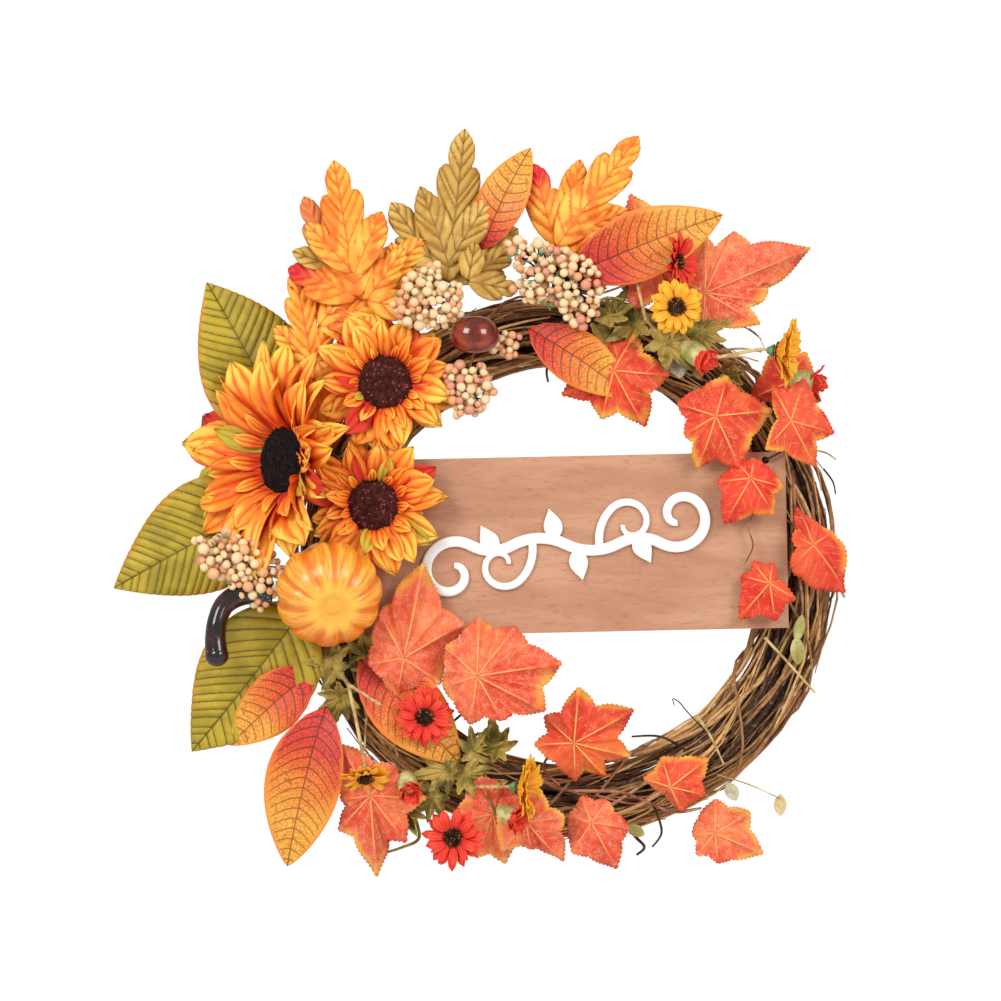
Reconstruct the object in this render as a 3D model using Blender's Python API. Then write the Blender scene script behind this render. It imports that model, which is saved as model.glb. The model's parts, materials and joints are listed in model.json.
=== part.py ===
"""Harvest door wreath: a twisted vine ring with a wooden sign, artificial sunflowers, daisies, leaves,
berries and a small pumpkin.

Units are metres, +Z is up, -Y is the front. The origin is the point where the hanging loop rests on its
hook. Everything hangs from one empty, Wreath, that stands at the centre of the vine ring.

Places of flowers and leaves are written as (x, z) in millimetres as seen from the front, from the ring's
centre, for a ring of LAYOUT_RADIUS. spread() moves them outward or inward with the ring.
"""

import math

import bmesh
import bpy
from mathutils import Matrix, Vector

MM = 0.001
GAP = 0.0004                    # play left between two pieces that touch

# --- vine ring -------------------------------------------------------------------------------------------
RING_RADIUS = 0.150             # centre of the ring to the middle of the bundle
STRAND_RADIUS = 0.0080
STRANDS = 3
STRAND_TURNS = 4                # turns of each strand round the others, once round the ring
BINDING_RADIUS = 0.0018
BINDING_TURNS = 9
LAYOUT_RADIUS = 0.150           # ring radius for which the places below are written

# --- hanging loop ----------------------------------------------------------------------------------------
LOOP_WIRE = 0.0009              # radius of the wire
LOOP_REACH = 0.040              # middle of the bundle to the top of the loop
LOOP_LEAN = 20.0                # degrees that the loop leans back from upright

# --- sign ------------------------------------------------------------------------------------------------
SIGN_HEIGHT = 0.1115
SIGN_THICKNESS = 0.0040
SIGN_CENTRE_Z = 0.0142          # above the ring's centre
SIGN_TILT = 1.2                 # degrees, right end up
SIGN_SWING = 3.0                # degrees that it can tip forward on its two wires
HOLE_RADIUS = 0.0024
HOLE_DROP = 0.0052              # top edge down to the hole
HOLE_INSET = 0.0126             # side edge in to the hole
HOLE_INWARD = 0.0071            # bundle's middle in to the hole
TIE_WIRE = 0.0008
FLOURISH_DEPTH = 0.0030
FLOURISH_WIDTH = 0.0064

# --- leaves, flowers and fruit ---------------------------------------------------------------------------
LEAF_THICKNESS = 0.0009
LAYER_STEP = 0.0024             # front of one layer of leaves to the front of the next
PETIOLE_WIDTH = 0.0030
PETAL_THICKNESS = 0.0012
STEM_RADIUS = 0.0011
PEG_RADIUS = 0.0010
PEG_PLAY = 0.0005               # between a stem's peg and the socket that turns on it
SOCKET_DEPTH = 0.0050
PUMPKIN_WIDTH = 0.0665
PUMPKIN_DEPTH = 0.0520

# --- worked out from the above ---------------------------------------------------------------------------
STRAND_ORBIT = (2 * STRAND_RADIUS + GAP) / (2 * math.sin(math.pi / STRANDS)) + 0.0002
CORE_RADIUS = STRAND_ORBIT + STRAND_RADIUS
BINDING_ORBIT = CORE_RADIUS + BINDING_RADIUS + 0.0012
BUNDLE_RADIUS = BINDING_ORBIT + BINDING_RADIUS
LOOP_RADIUS = BUNDLE_RADIUS + LOOP_WIRE + 0.0024
SIGN_BACK = BUNDLE_RADIUS + 2 * TIE_WIRE + 0.0018
SIGN_FRONT = SIGN_BACK + SIGN_THICKNESS
HOLE_Z = SIGN_CENTRE_Z + SIGN_HEIGHT / 2 - HOLE_DROP
HOLE_X = math.sqrt((RING_RADIUS - HOLE_INWARD) ** 2 - HOLE_Z ** 2)
SIGN_WIDTH = 2 * (HOLE_X + HOLE_INSET)
SIGN_SWEEP = SIGN_FRONT + (SIGN_HEIGHT - HOLE_DROP) * math.sin(math.radians(SIGN_SWING))
LEAN = math.radians(LOOP_LEAN)
HANG_POINT = Vector((0, math.sin(LEAN), math.cos(LEAN))) * (LOOP_REACH - LOOP_WIRE)

for old in list(bpy.data.objects):
    bpy.data.objects.remove(old, do_unlink=True)

wreath = bpy.data.objects.new("Wreath", None)
wreath.location = Vector((0, 0, -RING_RADIUS)) - HANG_POINT
bpy.context.scene.collection.objects.link(wreath)


def material(name, colour, roughness=0.6, metallic=0.0):
    made = bpy.data.materials.new(name)
    made.use_nodes = True
    shader = made.node_tree.nodes["Principled BSDF"]
    shader.inputs["Base Color"].default_value = (*colour, 1)
    shader.inputs["Roughness"].default_value = roughness
    shader.inputs["Metallic"].default_value = metallic
    made.diffuse_color = (*colour, 1)
    return made


vine = material("vine", (0.24, 0.13, 0.06), 0.8)
wire = material("wire", (0.12, 0.10, 0.09), 0.4, 0.9)
plywood = material("plywood", (0.57, 0.30, 0.18), 0.7)
white_paint = material("white_paint", (0.90, 0.89, 0.87), 0.6)
yellow_petal = material("yellow_petal", (0.93, 0.42, 0.04), 0.7)
seed_brown = material("seed_brown", (0.05, 0.02, 0.02), 0.9)
pumpkin_skin = material("pumpkin_skin", (0.90, 0.36, 0.05), 0.45)
glossy_brown = material("glossy_brown", (0.05, 0.015, 0.012), 0.15)
berry_skin = material("berry_skin", (0.85, 0.60, 0.40), 0.45)
broad_green = material("broad_green", (0.30, 0.27, 0.02), 0.6)
carved_orange = material("carved_orange", (0.85, 0.30, 0.04), 0.6)
carved_khaki = material("carved_khaki", (0.45, 0.28, 0.08), 0.6)
printed_orange = material("printed_orange", (0.87, 0.37, 0.05), 0.6)
maple_red = material("maple_red", (0.80, 0.13, 0.04), 0.7)
red_petal = material("red_petal", (0.75, 0.04, 0.03), 0.7)
stem_green = material("stem_green", (0.35, 0.30, 0.12), 0.6)


def spread(x, z):
    """A place written for the layout's ring, moved out or in to where this ring is."""
    place = Vector((x * MM, 0, z * MM))
    return place + place.normalized() * (RING_RADIUS - LAYOUT_RADIUS)


def on_vines(layers):
    """Depth of a layer that is counted forward from the front of the vines."""
    return -(BUNDLE_RADIUS + GAP + layers * LAYER_STEP)


def on_sign(layers):
    """Depth of a layer's front that is counted forward from the furthest that the sign tips out."""
    return -(SIGN_SWEEP + GAP + LEAF_THICKNESS + layers * LAYER_STEP)


def add(name, data, finish, parent=wreath):
    made = bpy.data.objects.new(name, data)
    made.parent = parent
    data.materials.append(finish)
    bpy.context.scene.collection.objects.link(made)
    return made


def add_mesh(name, bm, finish, parent=wreath, smooth_angle=35):
    bmesh.ops.recalc_face_normals(bm, faces=bm.faces)
    mesh = bpy.data.meshes.new(name)
    bm.to_mesh(mesh)
    bm.free()
    mesh.shade_smooth()
    mesh.set_sharp_from_angle(angle=math.radians(smooth_angle))
    return add(name, mesh, finish, parent)


def aim(item, place, axis):
    """Puts an object at a place with its local Z along an axis."""
    item.location = place
    item.rotation_euler = Vector(axis).to_track_quat("Z", "Y").to_euler()
    return item


def closed_wire(name, points, radius, finish, parent=wreath):
    """A round tube along a closed loop of points."""
    curve = bpy.data.curves.new(name, "CURVE")
    curve.dimensions = "3D"
    curve.bevel_depth = radius
    curve.bevel_resolution = 1
    curve.twist_mode = "MINIMUM"
    spline = curve.splines.new("POLY")
    spline.points.add(len(points) - 1)
    for slot, point in zip(spline.points, points):
        slot.co = (*point, 1)
    spline.use_cyclic_u = True
    return add(name, curve, finish, parent)


def tube(points, radii, sides=6):
    """A bmesh tube with flat ends. radii is one number, or one for each point."""
    if not isinstance(radii, (list, tuple)):
        radii = [radii] * len(points)
    points = [Vector(p) for p in points]
    bm = bmesh.new()
    rings = []
    normal = None
    for i, point in enumerate(points):
        along = (points[min(i + 1, len(points) - 1)] - points[max(i - 1, 0)]).normalized()
        if normal is None:
            normal = along.orthogonal().normalized()
        normal = (normal - along * normal.dot(along)).normalized()
        across = along.cross(normal)
        ring = []
        for k in range(sides):
            turn = 2 * math.pi * k / sides
            ring.append(bm.verts.new(point + (normal * math.cos(turn) + across * math.sin(turn)) * radii[i]))
        rings.append(ring)
    for first, second in zip(rings, rings[1:]):
        for k in range(sides):
            bm.faces.new((first[k], first[(k + 1) % sides], second[(k + 1) % sides], second[k]))
    bm.faces.new(rings[0])
    bm.faces.new(rings[-1])
    return bm


def turned(profile, segments):
    """A bmesh turned about Z. profile holds (radius, z, wave) from the bottom of the axis to its top; wave
    is the share of the radius taken off at every second vertex, for ribs and petals. Both sides of a thin
    dish are cut into triangles along the same lines, so that they never cross."""
    bm = bmesh.new()
    rings = []
    for radius, z, wave in profile:
        if radius == 0:
            rings.append([bm.verts.new((0, 0, z))])
            continue
        ring = []
        for k in range(segments):
            turn = 2 * math.pi * k / segments
            r = radius * (1 - wave * (k % 2))
            ring.append(bm.verts.new((r * math.cos(turn), r * math.sin(turn), z)))
        rings.append(ring)
    for first, second in zip(rings, rings[1:]):
        for k in range(segments):
            n = (k + 1) % segments
            if len(first) == 1:
                bm.faces.new((first[0], second[k], second[n]))
            elif len(second) == 1:
                bm.faces.new((first[k], first[n], second[0]))
            else:
                bm.faces.new((first[k], first[n], second[n], second[k]))
    bmesh.ops.triangulate(bm, faces=bm.faces[:], quad_method="SHORT_EDGE")
    return bm


def plate(outline, thickness, front=0.0):
    """A bmesh plate whose outline lies in XZ, from y = front back to y = front + thickness."""
    bm = bmesh.new()
    face = bm.faces.new([bm.verts.new((x, front, z)) for x, z in outline])
    made = bmesh.ops.extrude_face_region(bm, geom=[face])
    moved = [v for v in made["geom"] if isinstance(v, bmesh.types.BMVert)]
    bmesh.ops.translate(bm, vec=(0, thickness, 0), verts=moved)
    return bm


def join_on(item, others):
    """Boolean unions of hidden helper objects onto one object, so that it is a single body."""
    for other in others:
        other.hide_render = True
        other.display_type = "WIRE"
        union = item.modifiers.new("union", "BOOLEAN")
        union.operation = "UNION"
        union.solver = "EXACT"
        union.object = other


# --- vine ring -------------------------------------------------------------------------------------------
def round_ring(orbit, turns, phase, steps):
    """Points of a closed line that winds round the bundle's middle while it goes once round the ring."""
    points = []
    for i in range(steps):
        turn = 2 * math.pi * i / steps
        wind = turns * turn + phase
        r = RING_RADIUS + orbit * math.cos(wind)
        points.append((r * math.cos(turn), orbit * math.sin(wind), r * math.sin(turn)))
    return points


def make_ring():
    for i in range(STRANDS):
        line = round_ring(STRAND_ORBIT, STRAND_TURNS, 2 * math.pi * i / STRANDS, 54)
        closed_wire(f"vine_strand_{i + 1}", line, STRAND_RADIUS, vine)
    line = round_ring(BINDING_ORBIT, BINDING_TURNS, 0.4, 14 * BINDING_TURNS)
    closed_wire("binding_vine", line, BINDING_RADIUS, vine)


# --- hanging loop ----------------------------------------------------------------------------------------
def make_hanger():
    """A wire loop round the top of the bundle, drawn out to a rounded point that rests on the hook. Its
    parent empty stands on the bundle's middle, which it swings about."""
    hinge = bpy.data.objects.new("HangerAxis", None)
    hinge.parent = wreath
    hinge.location = (0, 0, RING_RADIUS)
    hinge.rotation_euler = (-LEAN, 0, 0)
    bpy.context.scene.collection.objects.link(hinge)
    open_half = math.acos(LOOP_RADIUS / LOOP_REACH)
    steps = 18
    points = []
    for i in range(steps + 1):
        turn = open_half + (2 * math.pi - 2 * open_half) * i / steps
        points.append((0, LOOP_RADIUS * math.sin(turn), LOOP_RADIUS * math.cos(turn)))
    tip = LOOP_RADIUS * 0.16
    points.append((0, -tip, LOOP_REACH - tip))
    points.append((0, -tip * 0.5, LOOP_REACH - tip * 0.2))
    points.append((0, 0, LOOP_REACH))
    points.append((0, tip * 0.5, LOOP_REACH - tip * 0.2))
    points.append((0, tip, LOOP_REACH - tip))
    closed_wire("hanger_loop", points, LOOP_WIRE, wire, hinge)


# --- sign ------------------------------------------------------------------------------------------------
def scroll(start, heading, arcs, step=20.0):
    """Points along a run of arcs, each (degrees turned, first radius, last radius) in millimetres."""
    x, z = start
    angle = math.radians(heading)
    points = [(x, z)]
    for turned_by, first, last in arcs:
        steps = max(2, round(abs(turned_by) / step))
        bend = math.radians(turned_by) / steps
        for i in range(steps):
            radius = first + (last - first) * (i + 0.5) / steps
            angle += bend / 2
            x += abs(bend) * radius * math.cos(angle)
            z += abs(bend) * radius * math.sin(angle)
            angle += bend / 2
            points.append((x, z))
    return points


def ribbon(points, width, end_width, thickness, front):
    """A plate of even thickness along a line of points, widest in the middle of its length."""
    left, right = [], []
    last = len(points) - 1
    for i, (x, z) in enumerate(points):
        bx, bz = points[max(i - 1, 0)]
        ax, az = points[min(i + 1, last)]
        length = math.hypot(ax - bx, az - bz)
        nx, nz = -(az - bz) / length, (ax - bx) / length
        swell = max(0.0, math.sin(math.pi * i / last)) ** 0.6
        half = (end_width + (width - end_width) * swell) / 2
        left.append(((x + nx * half) * MM, (z + nz * half) * MM))
        right.append(((x - nx * half) * MM, (z - nz * half) * MM))
    return plate(left + right[::-1], thickness, front)


def leaf_drop(x, z, heading, length, width, thickness, front):
    """A small pointed leaf of the flourish."""
    ca, sa = math.cos(math.radians(heading)), math.sin(math.radians(heading))
    outline = []
    for along, across in ((0, 0.16), (0.3, 0.46), (0.6, 0.40), (1, 0), (0.6, -0.40), (0.3, -0.46), (0, -0.16)):
        u, v = along * length, across * width
        outline.append(((x + u * ca - v * sa) * MM, (z + u * sa + v * ca) * MM))
    return plate(outline, thickness, front)


def make_flourish(hinge, drop):
    """A point-symmetric scroll with four curls and leaves, cut from thin board and glued to the sign."""
    front = -(SIGN_THICKNESS / 2 + FLOURISH_DEPTH + 0.0002)
    width = FLOURISH_WIDTH / MM
    half = scroll((0, 0), -28, [(56, 36, 36), (-58, 27, 27), (400, 21, 4)])
    main = [(-x, -z) for x, z in half[:0:-1]] + half
    item = add_mesh("sign_flourish", ribbon(main, width, width * 0.6, FLOURISH_DEPTH, front), white_paint, hinge)
    item.location = (0, 0, drop)
    extras = []
    for side in (1, -1):
        curl = scroll((side * 22, side * -5.5), 105 if side > 0 else 285, [(-60, 30, 26), (-330, 15, 4)])
        extras.append(ribbon(curl, width * 0.8, width * 0.5, FLOURISH_DEPTH - 0.0003, front + 0.00015))
        for x, z, heading in ((6, -3, -78), (44, 5, -62), (60, 2, 118)):
            heading = heading if side > 0 else heading + 180
            extras.append(leaf_drop(side * x, side * z, heading, 20, 12, FLOURISH_DEPTH - 0.0005, front + 0.00025))
    helpers = []
    for i, bm in enumerate(extras):
        helper = add_mesh(f"flourish_helper_{i}", bm, white_paint, hinge)
        helper.location = item.location
        helpers.append(helper)
    join_on(item, helpers)


def make_sign():
    """The board hangs on an empty that stands between its two holes, on the line that it tips about."""
    hinge = bpy.data.objects.new("SignAxis", None)
    hinge.parent = wreath
    tilt = math.radians(SIGN_TILT)
    to_holes = HOLE_Z - SIGN_CENTRE_Z
    centre = Vector((0, -(SIGN_BACK + SIGN_THICKNESS / 2), SIGN_CENTRE_Z))
    hinge.location = centre + Vector((-math.sin(tilt), 0, math.cos(tilt))) * to_holes
    hinge.rotation_euler = (0, -tilt, 0)
    bpy.context.scene.collection.objects.link(hinge)

    bm = bmesh.new()
    bmesh.ops.create_cube(bm, size=1, matrix=Matrix.Diagonal((SIGN_WIDTH, SIGN_THICKNESS, SIGN_HEIGHT, 1)))
    board = add_mesh("sign_board", bm, plywood, hinge)
    board.location = (0, 0, -to_holes)
    for side in (1, -1):
        bm = bmesh.new()
        turn = Matrix.Rotation(math.pi / 2, 4, "X")
        bmesh.ops.create_cone(bm, cap_ends=True, segments=12, radius1=HOLE_RADIUS, radius2=HOLE_RADIUS,
                              depth=SIGN_THICKNESS * 3, matrix=turn)
        cutter = add_mesh(f"hole_cutter_{side}", bm, plywood, hinge)
        cutter.location = (side * HOLE_X, 0, 0)
        cutter.hide_render = True
        cutter.display_type = "WIRE"
        cut = board.modifiers.new("hole", "BOOLEAN")
        cut.operation = "DIFFERENCE"
        cut.solver = "EXACT"
        cut.object = cutter
        side_name = "right" if side > 0 else "left"
        make_tie(f"sign_tie_{side_name}", hinge.location + Vector(
            (side * HOLE_X * math.cos(tilt), 0, side * HOLE_X * math.sin(tilt))))
    make_flourish(hinge, -to_holes)


def make_tie(name, hole):
    """A wire loop through one hole of the sign and round the bundle, over the board's top edge."""
    outward = Vector((hole.x, 0, hole.z))
    hole_r = outward.length
    outward.normalize()
    rise = HOLE_DROP / outward.z                # along the wire from the hole to the board's top edge
    front = -(SIGN_FRONT + TIE_WIRE + 0.0018)
    orbit = BUNDLE_RADIUS + TIE_WIRE + 0.0012
    start = math.asin((RING_RADIUS - hole_r) / orbit)
    corner = hole_r + rise + 0.0042
    end = 2 * math.pi - math.asin((corner + 0.002 - RING_RADIUS) / orbit)
    line = [(hole_r, front + 0.0012), (hole_r, -SIGN_FRONT), (hole_r, -SIGN_BACK - 0.0004)]
    for i in range(15):
        turn = start + (end - start) * i / 14
        line.append((RING_RADIUS - orbit * math.sin(turn), -orbit * math.cos(turn)))
    line.append((corner + 0.0006, -SIGN_FRONT))
    line.append((corner - 0.0010, front - 0.0002))
    line.append((hole_r + 0.0024, front - 0.0006))
    points = [outward * r + Vector((0, y, 0)) for r, y in line]
    closed_wire(name, points, TIE_WIRE, wire)


# --- leaves ----------------------------------------------------------------------------------------------
def pointed_outline(length, width, petiole):
    """Half widths along a smooth-edged leaf, base at the origin and tip along +Z."""
    half = PETIOLE_WIDTH / 2
    side = [(half, -petiole), (half, 0.02 * length)]
    for share in (0.12, 0.28, 0.46, 0.64, 0.82):
        side.append((width / 2 * math.sin(math.pi * share ** 0.85) ** 0.8, share * length))
    return side + [(0, length)] + [(-x, z) for x, z in side[::-1]]


def lobed_outline(length, width, petiole):
    """A leaf with two forward-swept lobes on each side, base at the origin and tip along +Z."""
    half = PETIOLE_WIDTH / 2
    side = [(half, -petiole), (half, 0.03 * length)]
    for across, along in ((0.46, 0.26), (0.20, 0.36), (0.50, 0.66), (0.18, 0.70)):
        side.append((across * width, along * length))
    return side + [(0, length)] + [(-x, z) for x, z in side[::-1]]


def star_outline(tips):
    """A maple outline from its tips, each (degrees from +X, length in millimetres), in turning order."""
    outline = []
    for i, (angle, length) in enumerate(tips):
        next_angle, next_length = tips[(i + 1) % len(tips)]
        between = (next_angle - angle) % 360
        share = 0.70 if between < 100 else 0.34
        for turn, r in ((angle, length), (angle + between / 2, share * min(length, next_length))):
            outline.append((r * MM * math.cos(math.radians(turn)), r * MM * math.sin(math.radians(turn))))
    return outline


def make_long_leaf(name, outline_of, base, tip, width, petiole, depth, finish):
    start, end = spread(*base), spread(*base) + (Vector((tip[0], 0, tip[1])) - Vector((base[0], 0, base[1]))) * MM
    way = end - start
    leaf = add_mesh(name, plate(outline_of(way.length, width * MM, petiole * MM), LEAF_THICKNESS), finish)
    leaf.location = start + Vector((0, depth, 0))
    leaf.rotation_euler = (0, math.atan2(way.x, way.z), 0)


def make_long_leaves():
    back = BUNDLE_RADIUS * 0.35
    for number, base, tip, width, petiole, depth in (
        (1, (-170, 93), (-229, 177), 60, 19, back),
        (2, (-195, 36), (-288, -13), 62, 27, back - LAYER_STEP),
        (3, (-170, -31), (-233, -116), 60, 6, on_vines(1)),
    ):
        make_long_leaf(f"broad_leaf_{number}", pointed_outline, base, tip, width, petiole, depth, broad_green)
    for number, base, tip, width, petiole, depth, finish in (
        (1, (-130, 157), (-150, 257), 62, 38, on_vines(3), carved_orange),
        (2, (-141, 177), (-163, 233), 40, 57, on_vines(1), carved_khaki),
        (3, (-162, 128), (-172, 188), 26, 47, on_vines(2), carved_orange),
        (4, (-77, 183), (-63, 276), 60, 33, on_vines(1), carved_khaki),
        (5, (-8, 195), (43, 276), 56, 28, on_vines(1), carved_orange),
    ):
        make_long_leaf(f"carved_leaf_{number}", lobed_outline, base, tip, width, petiole, depth, finish)
    for number, base, tip, width, petiole, depth in (
        (1, (-54, 214), (-21, 267), 29, 34, on_vines(2)),
        (2, (16, 195), (100, 224), 40, 26, on_vines(3)),
        (3, (-26, 148), (33, 113), 29, 3, on_vines(2)),
        (4, (-162, -68), (-214, -113), 31, 5, on_vines(3)),
        (5, (-154, -100), (-178, -193), 46, 17, on_vines(4)),
        (6, (-128, -63), (-66, -121), 44, 3, on_vines(4)),
    ):
        make_long_leaf(f"printed_leaf_{number}", pointed_outline, base, tip, width, petiole, depth, printed_orange)


def make_maple_leaves():
    for number, centre, depth, tips in (
        (1, (88, 173), on_vines(2), ((-94, 23), (-28, 40), (25, 72), (70, 43), (160, 26))),
        (2, (54, 195), on_vines(1), ((-100, 34), (-20, 26), (60, 34), (108, 36), (175, 26))),
        (3, (30, 124), on_vines(3), ((-84, 35), (-4, 32), (49, 27), (130, 22), (200, 26))),
        (4, (94, 95), on_sign(0), ((-107, 32), (-57, 33), (8, 36), (75, 26), (162, 25))),
        (5, (141, 92), on_sign(2), ((-60, 34), (-14, 29), (78, 25), (120, 25), (220, 23))),
        (6, (116, 56), on_sign(1), ((-64, 24), (-20, 20), (70, 14), (182, 22), (240, 32))),
        (7, (128, -10), on_sign(0), ((-35, 19), (88, 11), (162, 19), (230, 28), (277, 26))),
        (8, (-102, -57), on_sign(1), ((-45, 31), (31, 43), (73, 55), (115, 30), (200, 20))),
        (9, (-56, -68), on_sign(2), ((-27, 49), (10, 52), (90, 36), (174, 24), (270, 29))),
        (10, (5, -111), on_vines(1), ((-94, 25), (-12, 36), (29, 42), (86, 34), (180, 23))),
        (11, (66, -139), on_vines(1), ((-65, 16), (-20, 22), (36, 28), (106, 19), (162, 17))),
        (12, (16, -161), on_vines(2), ((-64, 33), (-8, 24), (53, 16), (140, 14), (215, 14))),
        (13, (94, -168), on_vines(1), ((-80, 18), (-20, 31), (39, 26), (90, 20), (200, 13))),
        (14, (-123, -143), on_vines(5), ((-86, 51), (-6, 34), (50, 22), (124, 36), (195, 19))),
    ):
        leaf = add_mesh(f"maple_leaf_{number}", plate(star_outline(tips), LEAF_THICKNESS), maple_red)
        leaf.location = spread(*centre) + Vector((0, depth, 0))


# --- sunflowers ------------------------------------------------------------------------------------------
def make_sunflower(number, place, axis, radius, disc_radius, cup, hub_length):
    """A cupped dish of petals on a hub, and the seed disc that sits in the dish."""
    hub = disc_radius * 0.42
    rise = radius * math.tan(math.radians(cup))
    seat = disc_radius * 1.06
    profile = (
        (0, -hub_length, 0), (hub * 0.7, -hub_length, 0), (hub, -0.003, 0),
        (seat, 0, 0), (radius, rise, 0.28), (radius, rise + PETAL_THICKNESS, 0.28),
        (seat, PETAL_THICKNESS * 1.2, 0), (0, PETAL_THICKNESS * 1.2, 0),
    )
    dish = add_mesh(f"sunflower_{number}_petals", turned(profile, 32), yellow_petal)
    aim(dish, place, axis)
    floor = PETAL_THICKNESS * 1.2 + GAP
    profile = (
        (0, floor, 0), (disc_radius * 0.94, floor, 0), (disc_radius, floor + 0.002, 0),
        (disc_radius * 0.72, floor + 0.0055, 0), (0, floor + 0.0065, 0),
    )
    disc = add_mesh(f"sunflower_{number}_disc", turned(profile, 18), seed_brown)
    aim(disc, place, axis)


def make_sunflowers():
    make_sunflower(1, spread(-176, 67) + Vector((0, -0.034, 0)), (-0.72, -0.69, 0.06), 0.060, 0.022, 12, 0.012)
    make_sunflower(2, spread(-114, 116.5) + Vector((0, on_vines(6), 0)), (0, -1, 0), 0.040, 0.0175, 9, 0.010)
    make_sunflower(3, spread(-121.5, 39) + Vector((0, on_sign(0.8), 0)), (0, -1, 0), 0.039, 0.016, 2, 0.006)


# --- pumpkin, chestnut and berries -----------------------------------------------------------------------
def make_pumpkin():
    """The ribbed body faces forward with its blossom end, and the horn of its stem curls away behind it."""
    half_width, half_depth = PUMPKIN_WIDTH / 2, PUMPKIN_DEPTH / 2
    profile = [(0, -half_depth * 0.86, 0)]
    for degrees in (-68, -48, -24, 0, 24, 48, 68):
        turn = math.radians(degrees)
        profile.append((half_width * math.cos(turn) ** 0.8, half_depth * math.sin(turn), 0.05))
    profile.append((0, half_depth * 0.86, 0))
    place = spread(-148.5, -16.6) + Vector((0, on_sign(0) - half_depth, 0))
    body = add_mesh("pumpkin", turned(profile, 24), pumpkin_skin)
    aim(body, place, (0.10, -0.97, -0.20))
    start = place + Vector((-half_width - 0.0015, 0.006, 0.004))
    line = [start + Vector(step) * MM for step in ((0, 0, -4), (-9, 0, -7), (-19, 0, -10), (-28, 1, -14),
                                                   (-34, 1, -21), (-37, 0, -30), (-37, -2, -42))]
    radii = [r * MM for r in (9.0, 7.2, 6.2, 6.2, 6.3, 6.5, 6.3)]
    line.append(line[-1] + Vector((0, 0, -3)) * MM)
    radii.append(0.0040)
    add_mesh("pumpkin_stem", tube(line, radii, 10), glossy_brown)


def ball_profile(half_width, half_height, wave):
    steps = 6
    profile = [(0, -half_height, 0)]
    for i in range(1, steps):
        turn = -math.pi / 2 + math.pi * i / steps
        profile.append((half_width * math.cos(turn), half_height * math.sin(turn), wave))
    return profile + [(0, half_height, 0)]


def make_fruit():
    nut = add_mesh("chestnut", turned(ball_profile(0.0165, 0.0120, 0), 14), glossy_brown)
    nut.location = spread(-57.6, 145.3) + Vector((0, on_vines(5) - 0.011, 0))
    nut.rotation_euler = (0, math.radians(-20), 0)
    nut.scale = (1, 0.62, 1)
    for number, x, z, wide, tall, deep, layers in (
        (1, -85, 172, 22, 18, 13, 4), (2, -10, 181, 31, 28, 15, 3), (3, -58, 111, 13, 16, 11, 4),
        (4, -211, 6, 25, 18, 16, 5),
    ):
        cluster = add_mesh(f"berry_cluster_{number}", turned(ball_profile(wide * MM, tall * MM, 0.12), 14), berry_skin)
        cluster.scale = (1, deep / wide, 1)
        cluster.location = spread(x, z) + Vector((0, on_vines(layers) - deep * MM, 0))


# --- daisies and their wire stems ------------------------------------------------------------------------
DAISIES = {  # name: ((x, z) as seen from the front, depth forward of the vines, facing, petal radius)
    "daisy_1": ((67, 192), 24, (0.85, -0.52, 0.0), 16, red_petal),
    "daisy_2": ((68, 162.5), 42, (0.1, -1, 0.05), 18.5, yellow_petal),
    "daisy_3": ((130, 136), 29, (0.95, -0.25, -0.1), 22, yellow_petal),
    "daisy_4": ((-126, -128.5), 34, (0.1, -0.55, -0.83), 17, yellow_petal),
    "daisy_5": ((-90, -94), 26, (0.2, -0.96, 0.0), 18, red_petal),
    "daisy_6": ((-70, -170), 20, (-0.25, -0.95, 0.0), 20, red_petal),
    "daisy_7": ((-32, -138), 27, (0.95, -0.3, 0.0), 22, yellow_petal),
}
SPRAYS = {  # name: (where the stem leaves the vines, a point all its branches pass, its heads)
    "top_spray_stem": ((62, 137), (66, 139, 12), {
        "daisy_1": ((50, 156, 22), (44, 182, 18)), "daisy_2": ((68, 150, 22),), "daisy_3": ((96, 132, 25),)}),
    "left_spray_stem": ((-141, -70), (-137, -74, 22), {
        "daisy_4": ((-132, -96, 27),), "daisy_5": ((-118, -86, 22), (-104, -92, 18))}),
    "bottom_spray_stem": ((-60, -140), (-62, -140, 10), {
        "daisy_6": ((-64, -152, 8),), "daisy_7": ((-54, -138, 24),)}),
}


def forward(x, z, ahead):
    """A place in front of the vines, ahead in millimetres."""
    return spread(x, z) + Vector((0, -(BUNDLE_RADIUS + ahead * MM), 0))


def make_daisy(name, place, ahead, axis, radius, finish):
    """One turned head. A blind socket in the back of its calyx turns on the peg of the stem."""
    hub = PEG_RADIUS + PEG_PLAY
    radius *= MM
    profile = (
        (0, -0.0006, 0), (hub, -0.0006, 0), (hub, -0.0006 - SOCKET_DEPTH, 0), (hub + 0.0014, -0.0006 - SOCKET_DEPTH, 0),
        (hub + 0.0022, -0.0014, 0), (radius, radius * 0.10, 0.22), (radius, radius * 0.10 + PETAL_THICKNESS, 0.22),
        (radius * 0.34, PETAL_THICKNESS, 0), (radius * 0.30, 0.0030, 0), (0, 0.0042, 0),
    )
    head = add_mesh(name, turned(profile, 20), finish)
    aim(head, forward(*place, ahead), axis)


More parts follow.
